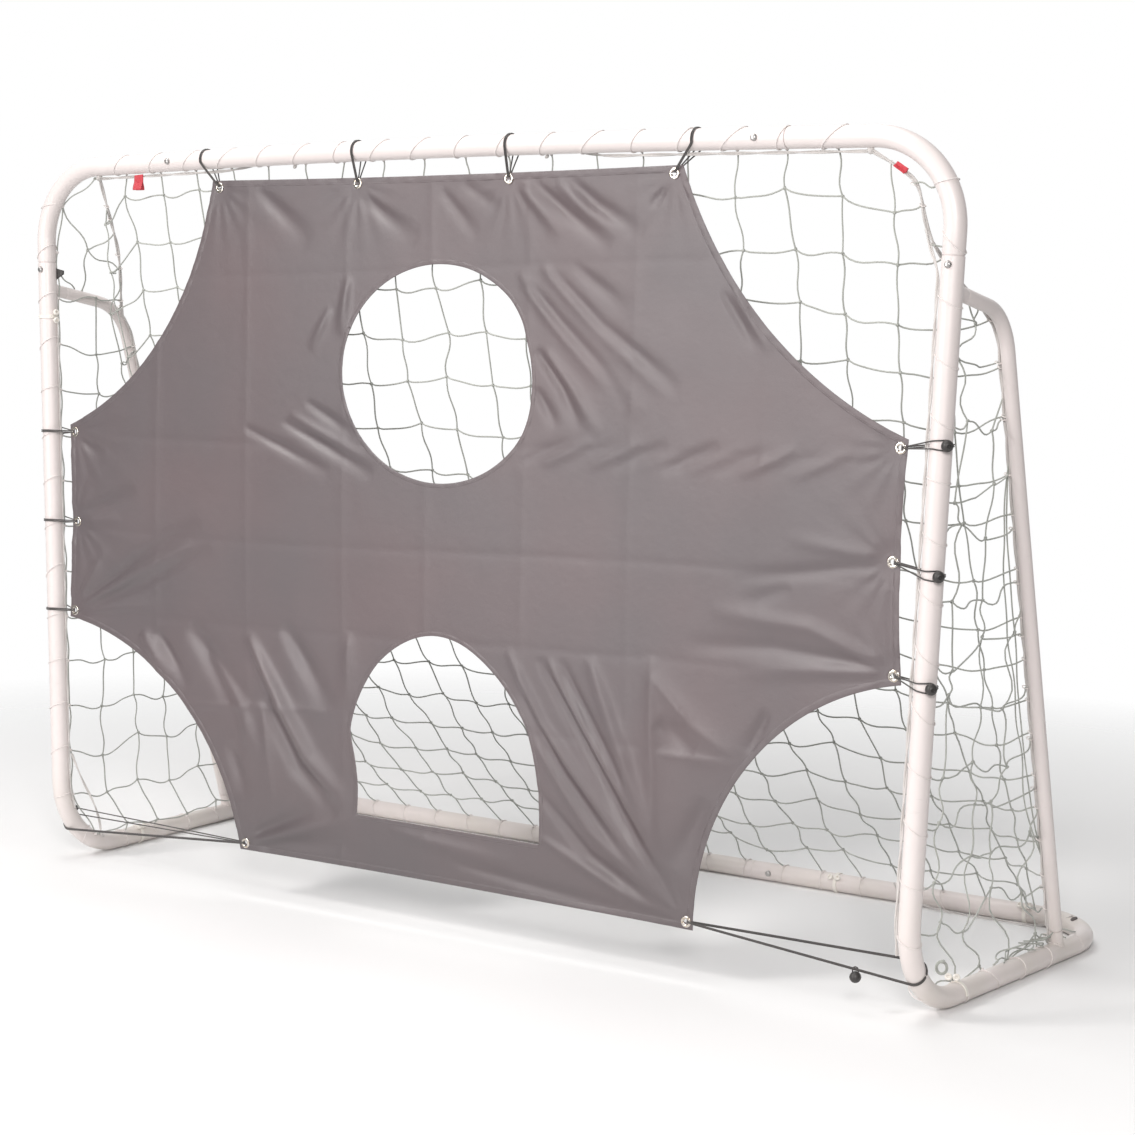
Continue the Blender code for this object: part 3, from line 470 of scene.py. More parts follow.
class Shape:
    """Vertices, faces and a map gathered for one mesh."""

    def __init__(self):
        self.verts, self.faces, self.maps, self.count = [], [], [], 0

    def add(self, verts, faces, maps=None):
        verts, faces = np.asarray(verts, float), np.asarray(faces, int)
        self.verts.append(verts)
        self.faces.append(faces + self.count)
        self.maps.append(np.zeros((*faces.shape, 2)) if maps is None else np.asarray(maps, float))
        self.count += len(verts)

    def grid(self, points, around=False, along=False, u=None, flip=False):
        """Faces over rows of points: around closes each row on itself, and along joins last to first."""
        points = np.asarray(points, float)
        rows, columns = points.shape[:2]
        u = np.arange(rows, dtype=float) if u is None else np.asarray(u, float)
        i = np.arange(rows if along else rows - 1)
        j = np.arange(columns if around else columns - 1)
        i, j = (a.ravel() for a in np.meshgrid(i, j, indexing="ij"))
        i2, j2 = (i + 1) % rows, (j + 1) % columns
        quads = np.stack([i * columns + j, i * columns + j2, i2 * columns + j2, i2 * columns + j], 1)
        high_u = np.where(i + 1 < rows, u[i2], u[-1] + (u[-1] - u[-2]))
        low_v, high_v = j / columns, (j + 1) / columns
        corners = ((u[i], low_v), (u[i], high_v), (high_u, high_v), (high_u, low_v))
        maps = np.stack([np.stack(corner, 1) for corner in corners], 1)
        if flip:
            quads, maps = quads[:, ::-1], maps[:, ::-1]
        self.add(points.reshape(-1, 3), quads, maps)

    def cap(self, ring, flip=False):
        order = np.arange(len(ring))[None, :]
        self.add(ring, order[:, ::-1] if flip else order)

    def tube(self, points, radii, sides=8, closed=False, capped=True):
        """A round bar along the points, with one radius or a radius for each point."""
        place, _, normal, side = frames_along(points, closed)
        radii = np.broadcast_to(np.asarray(radii, float), (len(place),))
        angle = np.arange(sides) * 2 * math.pi / sides
        rim = normal[:, None] * np.cos(angle)[None, :, None] + side[:, None] * np.sin(angle)[None, :, None]
        rings = place[:, None] + rim * radii[:, None, None]
        self.grid(rings, around=True, along=closed, u=run_of(place))
        if capped and not closed:
            self.cap(rings[0], flip=True)
            self.cap(rings[-1])

    def lathe(self, profile, matrix, steps=LATHE_STEPS):
        """A profile of (radius, height), from its lowest point upwards, turned round the matrix's Z."""
        angle = np.arange(steps) * 2 * math.pi / steps
        rings = [[(r * math.cos(a), r * math.sin(a), h) for a in angle] for r, h in profile]
        self.grid(np.array(rings) @ np.array(matrix.to_3x3()).T + np.array(matrix.translation), around=True)

    def blob(self, centre, sizes, turn, rings=6, steps=8):
        """A small rounded lump."""
        matrix = Matrix.Translation(centre) @ turn @ Matrix.Diagonal((*sizes, 1))
        lat = np.linspace(-math.pi / 2, math.pi / 2, rings)
        self.lathe([(max(math.cos(a), AXIS_POINT), math.sin(a)) for a in lat], matrix, steps)

    def mesh(self, name, smooth_angle=40):
        made = bpy.data.meshes.new(name)
        verts = np.concatenate(self.verts)
        corners = np.concatenate([f.ravel() for f in self.faces])
        sizes = np.concatenate([np.full(len(f), f.shape[1]) for f in self.faces])
        made.vertices.add(len(verts))
        made.vertices.foreach_set("co", verts.astype(np.float32).ravel())
        made.loops.add(len(corners))
        made.loops.foreach_set("vertex_index", corners.astype(np.int32))
        made.polygons.add(len(sizes))
        starts = np.concatenate([[0], np.cumsum(sizes)[:-1]])
        made.polygons.foreach_set("loop_start", starts.astype(np.int32))
        layer = made.uv_layers.new(name="length_and_turn")
        layer.data.foreach_set("uv", np.concatenate([m.reshape(-1) for m in self.maps]).astype(np.float32))
        made.update(calc_edges=True)
        made.validate()
        made.shade_smooth()
        made.set_sharp_from_angle(angle=math.radians(smooth_angle))
        return made


def along_length(points, spacing):
    """The line's points, spaced evenly."""
    place = array_of(points)
    run = run_of(place)
    at = np.linspace(0, run[-1], max(2, int(round(run[-1] / spacing)) + 1))
    return [Vector([np.interp(t, run, place[:, k]) for k in range(place.shape[1])]) for t in at]


def eased(points, rounds=2, closed=False):
    """Corner cutting, which rounds a line off and keeps its ends."""
    for _ in range(rounds):
        after = points[1:] + (points[:1] if closed else [])
        cut = []
        for a, b in zip(points, after):
            cut += [a.lerp(b, 0.25), a.lerp(b, 0.75)]
        points = cut if closed else [points[0]] + cut[1:-1] + [points[-1]]
    return points


def smooth_line(points, spacing, rounds=3):
    return along_length(eased(points, rounds), spacing)


def filleted(corners, radii, steps=BEND_STEPS):
    """Points along a bent tube's axis: straight runs, with each inner corner rounded."""
    points = [Vector(corners[0])]
    for before, corner, after, radius in zip(corners, corners[1:], corners[2:], radii):
        inward = (before - corner).normalized()
        outward = (after - corner).normalized()
        half = inward.angle(outward) / 2
        reach = radius / math.tan(half)
        centre = corner + (inward + outward).normalized() * radius / math.sin(half)
        spoke = corner + inward * reach - centre
        axis = spoke.cross(corner + outward * reach - centre).normalized()
        for i in range(steps + 1):
            turn = Quaternion(axis, (math.pi - 2 * half) * i / steps)
            points.append(centre + turn @ spoke)
    points.append(Vector(corners[-1]))
    return points


def show(name, shape, finish, body="goal", replaces=(), smooth_angle=40):
    """A piece of the goal that rides on a body."""
    mesh = shape.mesh(name, smooth_angle) if isinstance(shape, Shape) else shape
    obj = placed(name, mesh)
    mesh.materials.clear()
    mesh.materials.append(finish)
    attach(obj, body)
    if replaces:
        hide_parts(*replaces)
    return obj


def show_turned(name, profile, matrix, finish, body="goal", replaces=()):
    """A piece turned on a lathe."""
    shape = Shape()
    shape.lathe(profile, matrix)
    return show(name, shape, finish, body, replaces)


def thicken(obj, thickness, offset=0):
    solid = obj.modifiers.new("thickness", "SOLIDIFY")
    solid.thickness = thickness
    solid.offset = offset


def helper(shape):
    """The shape as an object, with its caps joined to its sides."""
    mesh = shape.mesh("cutter")
    bm = bmesh.new()
    bm.from_mesh(mesh)
    bmesh.ops.remove_doubles(bm, verts=bm.verts, dist=1e-6)
    bm.to_mesh(mesh)
    bm.free()
    return placed("cutter", mesh)


def carved(shape, steps):
    """The shape's mesh after (operation, other shape) steps."""
    obj = helper(shape)
    others = []
    for operation, other in steps:
        others.append(helper(other))
        modifier = obj.modifiers.new("cut", "BOOLEAN")
        modifier.operation = operation
        modifier.solver = "MANIFOLD"
        modifier.object = others[-1]
    bpy.context.view_layer.update()
    graph = bpy.context.evaluated_depsgraph_get()
    mesh = bpy.data.meshes.new_from_object(obj.evaluated_get(graph))
    for used in [obj] + others:
        bpy.data.objects.remove(used)
    mesh.shade_smooth()
    mesh.set_sharp_from_angle(angle=math.radians(35))
    return mesh


# The frame's lines

def front(x, z, behind=0.0):
    return Vector((x, FRONT_Y + behind, z))


def side_corners(s):
    top = front(s * HALF, CORNER_Z)
    foot = front(s * (HALF - FOOT_DRAW), AXIS_Z)
    heel = Vector((s * (HALF - FOOT_DRAW + REAR_SPREAD), REAR_Y, AXIS_Z))
    return top, foot, heel


def side_ways(s):
    """The ways up the upright and back along the base rail."""
    top, foot, heel = side_corners(s)
    return (top - foot).normalized(), (heel - foot).normalized()


def upright_at(s, z):
    top, foot, _ = side_corners(s)
    return foot + (top - foot) * (z - foot.z) / (top.z - foot.z)


def rail_at(s, ahead):
    _, foot, heel = side_corners(s)
    return heel + (foot - heel).normalized() * ahead


def bar_end(s):
    inward = Vector((-s * math.cos(BAR_RISE_ANGLE), 0, math.sin(BAR_RISE_ANGLE)))
    return side_corners(s)[0] + inward * BAR_JOINT / math.cos(BAR_RISE_ANGLE), inward


def bar_z(x):
    straight = BAR_JOINT_X - BAR_INSERT
    if abs(x) > straight:
        return CORNER_Z + (HALF - abs(x)) * math.tan(BAR_RISE_ANGLE)
    radius = straight / math.sin(BAR_RISE_ANGLE)
    rise = math.sqrt(radius ** 2 - x ** 2) - radius * math.cos(BAR_RISE_ANGLE)
    return CORNER_Z + (HALF - straight) * math.tan(BAR_RISE_ANGLE) + rise


def shoulder_of(s):
    return upright_at(s, CORNER_Z - UPRIGHT_JOINT)


def side_axis(s, steps=BEND_STEPS):
    return filleted([rail_at(s, RAIL_JOINT), side_corners(s)[1], shoulder_of(s)], [FOOT_BEND_R], steps)


def stay_corners(s):
    at_upright = upright_at(s, CORNER_Z - STAY_TOP)
    bend = at_upright + Vector((0, STAY_TOP_REACH, -STAY_TOP_FALL))
    return at_upright, bend, rail_at(s, STAY_FOOT)


def frame_of(place, outward, along):
    side = outward.cross(along).normalized()
    return Matrix.Translation(place) @ Matrix((along, side, outward)).transposed().to_4x4()


# The frame's tubes

# The neck of a drawn-in end: how far along it, and the share of the tube's full radius
SWAGE = ((0.0, 0.0), (0.0008, 0.12), (0.0016, 0.5), (0.0024, 0.88), (0.0032, 1.0))
CUT_PAST = 0.002             # how far a bore runs past the end that it opens
STUB_ROOT = 0.0095           # where a stay's stub starts, from the big tube's axis
WELD_R = 0.0021
DOME_R = 0.0036


def swaged(points, radius, start=0.0, end=0.0):
    """Points and radii of a tube whose ends are drawn down in a soft neck to slide into the next tube."""
    slim = radius - TUBE_WALL - SLIP
    points = [Vector(p) for p in points]
    radii = [radius] * len(points)
    if start:
        away = (points[0] - points[1]).normalized()
        neck = [points[0] - away * reach for reach, _ in SWAGE]
        points = [points[0] + away * start] + neck + points[1:]
        radii = [slim] + [slim + (radius - slim) * share for _, share in SWAGE] + radii[1:]
    if end:
        away = (points[-1] - points[-2]).normalized()
        neck = [points[-1] - away * reach for reach, _ in SWAGE[::-1]]
        points = points[:-1] + neck + [points[-1] + away * end]
        radii = radii[:-1] + [slim + (radius - slim) * share for _, share in SWAGE[::-1]] + [slim]
    return points, radii


def round_shape(points, radii, sides):
    shape = Shape()
    shape.tube(points, radii, sides)
    return shape


def bore_of(points, radii, wall, sides):
    points = [Vector(p) for p in points]
    points[0] += (points[0] - points[1]).normalized() * CUT_PAST
    points[-1] += (points[-1] - points[-2]).normalized() * CUT_PAST
    return round_shape(points, [r - wall for r in radii], sides)


def weld_bead(shape, axis_point, axis_way, direction):
    """A rippled fillet of weld where a stub meets the big tube."""
    side = direction.cross(axis_way).normalized()
    other = side.cross(direction).normalized()
    flat_way = direction - axis_way * direction.dot(axis_way)
    points, radii = [], []
    for angle in turns(96):
        rim = (side * math.cos(angle) + other * math.sin(angle)) * STAY_R
        flat_rim = rim - axis_way * rim.dot(axis_way)
        a, b, c = flat_way.length_squared, 2 * flat_rim.dot(flat_way), flat_rim.length_squared - TUBE_R ** 2
        reach = (-b + math.sqrt(max(b * b - 4 * a * c, 0))) / (2 * a)
        points.append(axis_point + direction * reach + rim * 1.03)
        radii.append(WELD_R * (1 + 0.16 * math.sin(angle * 17)))
    shape.tube(points, radii, 10, closed=True)


def button_hole(matrix):
    ends = [matrix @ Vector((0, 0, z)) for z in (BUTTON_FLANGE_TOP - 0.004, TUBE_R + 0.004)]
    return round_shape(ends, BUTTON_R + BUTTON_CLEAR, LATHE_STEPS)


def arc(radius, centre, end, steps):
    """Points (radius, height) of the section of a rounded edge, from level up to the angle end."""
    angles = [math.radians(end * i / steps) for i in range(steps + 1)]
    return [(centre[0] + radius * math.cos(a), centre[1] + radius * math.sin(a)) for a in angles]


def snap_button(name, matrix, finish):
    """The domed head of a snap button, with its flange inside the tube."""
    crown = TUBE_R + BUTTON_PROUD
    under = BUTTON_FLANGE_TOP - BUTTON_FLANGE_T
    profile = [(AXIS_POINT, under), (BUTTON_FLANGE_R, under), (BUTTON_FLANGE_R, BUTTON_FLANGE_TOP),
               (BUTTON_R, BUTTON_FLANGE_TOP)]
    profile += arc(DOME_R, (BUTTON_R - DOME_R, crown - DOME_R), 78, 12)
    profile += [(AXIS_POINT, crown + 0.0001)]
    show_turned(name + "_dome", profile, matrix, finish, name + "_snap", [name + "_button"])


def closing_spring(name, finish):
    """A copy of the leaf spring inside the tube, in a mesh of its own. The real spring closes on its back leg
    as the button goes in.
    """
    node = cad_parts[name + "_spring"]
    mesh = node.data.copy()
    mesh.name = name + "_leaf"
    mesh.transform(node.matrix_world)
    piece = show(name + "_leaf", mesh, finish, replaces=[name + "_spring"])
    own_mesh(piece)


def make_frame(paint, metal, spring, black):
    holes = {}

    def joint(name, place, outward, along, tubes):
        matrix = frame_of(place, outward, along)
        snap_button(name, matrix, metal)
        closing_spring(name, spring)
        for tube in tubes:
            holes.setdefault(tube, []).append(("DIFFERENCE", button_hole(matrix)))

    def tube(name, points, radii, wall=TUBE_WALL, sides=TUBE_SIDES, joined=(), bored=()):
        steps = [("UNION", other) for other in joined]
        steps.append(("DIFFERENCE", bore_of(points, radii, wall, sides)))
        steps += [("DIFFERENCE", other) for other in bored] + holes.get(name, [])
        mesh = carved(round_shape(points, radii, sides), steps)
        show(name + "_painted", mesh, paint, replaces=[name])

    for side, s in SIDES.items():
        end, inward = bar_end(s)
        up, back = side_ways(s)
        rear_end = Vector((s * REAR_JOINT_X, REAR_Y, AXIS_Z))
        joint("crossbar_" + side, end + inward * BAR_BUTTON_BACK, -Y, -inward,
              ("crossbar", "top_corner_" + side))
        joint("upright_" + side, shoulder_of(s) - up * UPRIGHT_BUTTON_BACK, -Y, up,
              ("side_tube_" + side, "top_corner_" + side))
        joint("rear_bar_" + side, rear_end + X * s * REAR_BUTTON_BACK, -Y, -X * s,
              ("rear_corner_" + side, "rear_bar"))
        joint("rail_" + side, rail_at(s, RAIL_JOINT + RAIL_BUTTON_BACK), Z.cross(back) * s, back,
              ("side_tube_" + side, "rear_corner_" + side))

    straight = BAR_JOINT_X - BAR_INSERT
    across = [straight * (i / 12 - 1) for i in range(25)]
    axis = [bar_end(-1)[0]] + [front(x, bar_z(x)) for x in across] + [bar_end(1)[0]]
    tube("crossbar", axis, [TUBE_R] * len(axis))
    ends = [Vector((s * REAR_JOINT_X, REAR_Y, AXIS_Z)) for s in (-1, 1)]
    tube("rear_bar", *swaged(ends, TUBE_R, start=REAR_INSERT, end=REAR_INSERT))

    for side, s in SIDES.items():
        top, _, heel = side_corners(s)
        up, back = side_ways(s)
        axis = filleted([bar_end(s)[0], top, shoulder_of(s)], [TOP_BEND_R])
        tube("top_corner_" + side, *swaged(axis, TUBE_R, start=BAR_INSERT, end=UPRIGHT_INSERT))

        at_upright, bend, at_rail = stay_corners(s)
        stubs, bores, welds = [], [], Shape()
        for place, along in ((at_upright, up), (at_rail, back)):
            way = (bend - place).normalized()
            lean = abs(way.dot(along))
            clear = (TUBE_R + SEAT + (STAY_R - STAY_WALL) * lean) / math.sqrt(1 - lean ** 2)
            outer = place + way * (TUBE_R + STUB_LENGTH)
            stubs.append(round_shape([place + way * STUB_ROOT, outer], STAY_R, STAY_SIDES))
            bores.append(round_shape([place + way * clear, outer + way * CUT_PAST], STAY_R - STAY_WALL,
                                     STAY_SIDES))
            weld_bead(welds, place, along, way)
        axis = side_axis(s)
        tube("side_tube_" + side, axis, [TUBE_R] * len(axis), joined=stubs, bored=bores)
        show("stay_welds_" + side, welds, paint)

        inner = Vector((s * REAR_JOINT_X, REAR_Y, AXIS_Z))
        axis = filleted([rail_at(s, RAIL_JOINT), heel, inner], [REAR_BEND_R])
        tube("rear_corner_" + side, *swaged(axis, TUBE_R, start=RAIL_INSERT))
        make_plug(side, axis, black)

        lower, higher = (bend - at_rail).normalized(), (bend - at_upright).normalized()
        axis = filleted([at_rail + lower * (TUBE_R + STUB_LENGTH), bend,
                         at_upright + higher * (TUBE_R + STUB_LENGTH)], [STAY_BEND_R])
        points, radii = swaged(axis, STAY_R, start=STUB_INSERT, end=STUB_INSERT)
        tube("stay_" + side, points, radii, STAY_WALL, STAY_SIDES)


def make_plug(side, axis, black):
    """A domed plug over the drain hole in the top of the rear bend."""
    bend = axis[1:-1]
    half = len(bend) // 2
    way = (bend[half + 1] - bend[half - 1]).normalized()
    inward = ((bend[0] + bend[-1]) / 2 - bend[half]).normalized()
    facet = 2 * math.pi / 16
    matrix = frame_of(bend[half], Z * math.cos(facet) + inward * math.sin(facet), way)
    crown = TUBE_R + PLUG_PROUD
    seat = AXIS_Z + SEAT
    edge = 0.0012
    dimple = crown - 0.0004
    profile = [(AXIS_POINT, TUBE_R - PLUG_REACH), (PLUG_STEM_R, TUBE_R - PLUG_REACH), (PLUG_STEM_R, seat),
               (PLUG_R - 0.0002, seat)]
    profile += arc(edge, (PLUG_R - edge, seat + edge), 70, 5)
    profile += [(PLUG_R * 0.55, crown - 0.0003), (PLUG_R * 0.4, crown), (PLUG_R * 0.36, dimple),
                (AXIS_POINT, dimple)]
    show_turned("drain_cap_" + side, profile, matrix, black, replaces=["drain_plug_" + side])


# Ropes

STRAND_R = 0.0020
ROPE_R = 0.0030
ROPE_TURN = 0.16             # the length of cord in which its strands go once round
SPREAD = 0.92                # the strands' distance from the cord's middle, in strand radii
ROPE_KNOT = 0.0065
# Where ties draw each rope towards the frame's corner: x, how far behind the uprights, and z
ROPE_DRAWN = {-1: ((-0.926, 0.075, 1.355), (-0.962, 0.135, 1.290)),
              1: ((0.942, 0.018, 1.409), (0.964, 0.024, 1.386), (0.966, 0.046, 1.319), (0.978, 0.088, 1.268))}


def rope_path(s):
    """The border rope: from under the crossbar to the stay's bend and down inside the stay."""
    at_upright, bend, at_rail = stay_corners(s)
    beside = Vector((-s * (STAY_R + SEAT + ROPE_R), 0, 0))
    x = HALF - ROPE_TOP_INSET
    top = front(s * x, bar_z(x) - ROPE_TOP_DROP)
    down = (at_rail - bend).normalized()
    bent = [p + beside for p in filleted([at_upright, bend, at_rail], [STAY_BEND_R], 10)[6:-1]]
    drawn = [front(x, z, behind) for x, behind, z in ROPE_DRAWN[s]]
    return [top] + drawn + bent + [at_rail - down * (TUBE_R + SEAT + ROPE_R) + beside]


def twisted(shape, points, strand_r):
    """Two strands laid round each other along the line."""
    place, _, normal, side = frames_along(points)
    run = run_of(place)
    for k in range(2):
        angle = (run / ROPE_TURN + k / 2) * 2 * math.pi
        offset = normal * np.cos(angle)[:, None] + side * np.sin(angle)[:, None]
        shape.tube([Vector(p) for p in place + offset * strand_r * SPREAD], strand_r)


def wrap(shape, centre, axis, radius, thread, lean=0.0):
    """A turn of cord round a tube or rope, leaning along it."""
    axis = axis.normalized()
    start = Y if abs(axis.dot(Y)) < 0.9 else X
    first = (start - axis * start.dot(axis)).normalized()
    second = axis.cross(first)
    points = []
    for angle in turns(34):
        off = (first * math.cos(angle) + second * math.sin(angle)) * (radius + thread)
        points.append(centre + off + axis * lean * math.sin(angle))
    shape.tube(points, thread, 6, closed=True)


def knot(shape, centre, size):
    """A small overhand knot: two crossing lumps."""
    turn = Matrix.Rotation(chance.uniform(0, math.pi), 4, (chance.random(), chance.random(), 1.0))
    shape.blob(centre, (size, size * 0.8, size * 1.15), turn)
    shape.blob(centre, (size * 1.15, size * 0.7, size * 0.75), turn @ Matrix.Rotation(0.9, 4, "Y"))


def jitter(x, y, z):
    """A random step with these spreads."""
    return Vector((chance.gauss(0, x), chance.gauss(0, y), chance.gauss(0, z)))


def make_ropes(finish):
    for side, s in SIDES.items():
        line = smooth_line(rope_path(s), 0.006)
        shape, ends = Shape(), Shape()
        twisted(shape, line, STRAND_R)
        for place in (line[0], line[-1]):
            knot(ends, place, ROPE_KNOT)
        rope = show("border_cord_" + side, shape, finish, replaces=["border_rope_" + side])
        tied = show("border_cord_knots_" + side, ends, finish)


# The net

TWINE_R = 0.0015
LACE_R = 0.0010
MESH_KNOT, END_KNOT = 0.0033, 0.0034
NET_PITCH = 0.0963
SIDE_PITCH = 0.104
NET_SIDE_COLUMNS = 10        # columns on each side of the middle
NET_ROWS = 18
FIRST_ROW = (0.44, 0.85)     # first row's height as a share of the others: up to the middle, and at the right
NET_ROOF_ROWS = 3
NET_SAG = 0.170              # how far the net hangs from a straight line between the bars
NET_TOP_BEHIND = 0.012
NET_REAR_REACH = 0.872       # where the outermost columns meet the rear bar
NET_REAR_AHEAD = 0.008       # how far before the rear bar's axis the net is laced to it
FINE = 50                    # steps of a down line to each row
NET_DRIFT = (0.005, 0.004, 0.005)
NET_WAVE = 0.006
DOWN_SWAY = 0.045            # how much a down line winds, as a share of its length
ACROSS_DROOP, ACROSS_SWAY = 0.06, 0.035
UPRIGHT_SWAY = 0.03
SIDE_ROWS = 14
EDGE_SWAY = 0.05             # how much the twine at the net's edges winds
BESIDE = TUBE_R + SEAT + TWINE_R
ROPE_TIE_R = 0.0042
STRAP_WAY = Vector((0.8, 0.6, 0))    # which way the strap end stands off the left upright


def point_at_z(path, z):
    for a, b in zip(path, path[1:]):
        if a.z >= z >= b.z:
            return a.lerp(b, (a.z - z) / (a.z - b.z))
    return (path[0] if z > path[0].z else path[-1]).copy()


def strand(shape, a, b, droop=0.0, sway=0.0, points=9):
    """One side of a mesh: twine that leaves its first knot downwards and sways on its way to the next."""
    run = b - a
    long = run.length
    side = run.cross(Vector((chance.uniform(-1, 1), chance.uniform(-1, 1), chance.uniform(-1, 1))))
    side.normalize()
    sway *= long * chance.uniform(0.5, 1.0)
    line = []
    for t in shares(points - 1):
        low = math.sin(math.pi * t ** 0.65) * droop * long
        line.append(a + run * t - Z * low + side * sway * math.sin(2 * math.pi * t))
    shape.tube(line, TWINE_R, 6, capped=False)


def lace(ties, centre, axis, lean):
    """A turn of thin cord that laces the net to a tube."""
    wrap(ties, centre, axis, TUBE_R, LACE_R, lean)


def tie(ties, place):
    """A turn of thin cord that ties the net to the border rope."""
    wrap(ties, place, Vector((0, 0.3, -1)), ROPE_TIE_R, LACE_R, 0.002)


def net_column(k, rope):
    """One of the net's down lines, which hangs from the crossbar, or near the corner from the rope."""
    x = (k + 0.5) * NET_PITCH
    if abs(x) < HALF - ROPE_TOP_INSET:
        top = front(x, bar_z(x) - math.sqrt(BESIDE ** 2 - NET_TOP_BEHIND ** 2), NET_TOP_BEHIND)
    else:
        top = min(rope[:len(rope) // 4], key=lambda p: abs(abs(p.x) - abs(x))).copy()
    rear_x = x * NET_REAR_REACH / ((NET_SIDE_COLUMNS - 0.5) * NET_PITCH)
    above = math.sqrt(BESIDE ** 2 - NET_REAR_AHEAD ** 2)
    chord = Vector((rear_x, REAR_Y - NET_REAR_AHEAD, AXIS_Z + above)) - top
    hang = Vector((0, chord.z, -chord.y)).normalized() * NET_SAG
    line = [top + chord * t + hang * 4 * t * (1 - t) for t in shares(60)]
    first = round(FINE * float(np.interp(k, (1, 6), FIRST_ROW)))
    fine = along_length(line, length_of(line) / (FINE * (NET_ROWS - 1) + first))
    return [fine[0]] + fine[first:-1:FINE] + [fine[-1]]


def make_nets(finish, lace_finish, rope_finish):
    ropes = {s: smooth_line(rope_path(s), 0.02) for s in SIDES.values()}
    roof, back, ties = Shape(), Shape(), Shape()
    table = {}
    for k in range(-NET_SIDE_COLUMNS, NET_SIDE_COLUMNS):
        column = net_column(k, ropes[1 if k >= 0 else -1])
        for r, point in enumerate(column[1:-1], 1):
            point += jitter(*NET_DRIFT)
            point.z += NET_WAVE * math.sin(k * 1.9 + r * 0.7)
            point.x += NET_WAVE * math.sin(k * 0.8 + r * 0.45)
        table[k] = column
        top, bottom = column[0], column[-1]
        if abs(top.x) < HALF - ROPE_TOP_INSET:
            lace(ties, front(top.x, bar_z(top.x)), X, chance.uniform(0.010, 0.024))
        lace(ties, Vector((bottom.x, REAR_Y, AXIS_Z)), X, chance.uniform(-0.008, 0.008))
        knot(ties, top, END_KNOT)
        knot(ties, bottom, END_KNOT)

    def band(r):
        return roof if r < NET_ROOF_ROWS else back

    for k, column in table.items():
        for r in range(NET_ROWS):
            strand(band(r), column[r], column[r + 1], 0.0, DOWN_SWAY)
            if r:
                knot(band(r), column[r], MESH_KNOT)
                if k < NET_SIDE_COLUMNS - 1:
                    strand(band(r), column[r], table[k + 1][r], ACROSS_DROOP, ACROSS_SWAY)
    for s in SIDES.values():
        net_edge(band, ties, table[NET_SIDE_COLUMNS - 1 if s > 0 else -NET_SIDE_COLUMNS], ropes[s], s)
    show("net_roof_twine", roof, finish, replaces=["net_roof"])
    show("net_back_twine", back, finish, replaces=["net_back"])

    for side, s in SIDES.items():
        shape = Shape()
        side_net(shape, ties, s, ropes[s])
        if s > 0:
            gathered(shape, s, ropes[s])
        else:
            upper_left(shape, ropes[s])
        show(f"net_{side}_twine", shape, finish, replaces=["net_" + side])
    header_rope(rope_finish)
    edge_ropes(rope_finish)
    show("net_lacing", ties, lace_finish)


def net_edge(band, ties, column, rope, s):
    """The meshes between the outermost column and the border rope, which it is tied to row by row."""
    widest = 1.35 * NET_PITCH
    above = None             # the knot between column and rope in the row above, if there is one
    for r in range(1, NET_ROWS):
        near = column[r]
        far = point_at_z(rope, near.z + 0.012)
        if (far - near).length > widest:
            middle = near.lerp(far, 0.5) + Vector((s * 0.014, -0.018, -0.012)) + jitter(0.004, 0.006, 0.006)
            strand(band(r), near, middle, 0.05, EDGE_SWAY)
            strand(band(r), middle, far, 0.05, EDGE_SWAY)
            knot(band(r), middle, MESH_KNOT)
            strand(band(r), above or point_at_z(rope, middle.z + 0.07), middle, 0.0, EDGE_SWAY)
            above = middle
        else:
            strand(band(r), near, far, 0.05, EDGE_SWAY)
            if above:
                strand(band(r), above, point_at_z(rope, far.z - 0.03), 0.0, EDGE_SWAY)
            above = None
        tie(ties, far)


def axis_at(s, z):
    """The point of the front frame's side at height z, round the top and foot bends as well."""
    straight = upright_at(s, z)
    rise = CORNER_Z - z
    if rise < TOP_BEND_R:
        inward = TOP_BEND_R - math.sqrt(max(TOP_BEND_R ** 2 - (TOP_BEND_R - rise) ** 2, 0))
        straight.x -= s * inward
    below = FOOT_BEND_R - (z - AXIS_Z)
    if below > 0:
        straight.y += FOOT_BEND_R - math.sqrt(max(FOOT_BEND_R ** 2 - below ** 2, 0))
    return straight


def off_upright(s):
    """From the upright's axis to the twine that is laced to its inner rear."""
    return Vector((-s * BESIDE * 0.85, BESIDE * 0.6, 0))


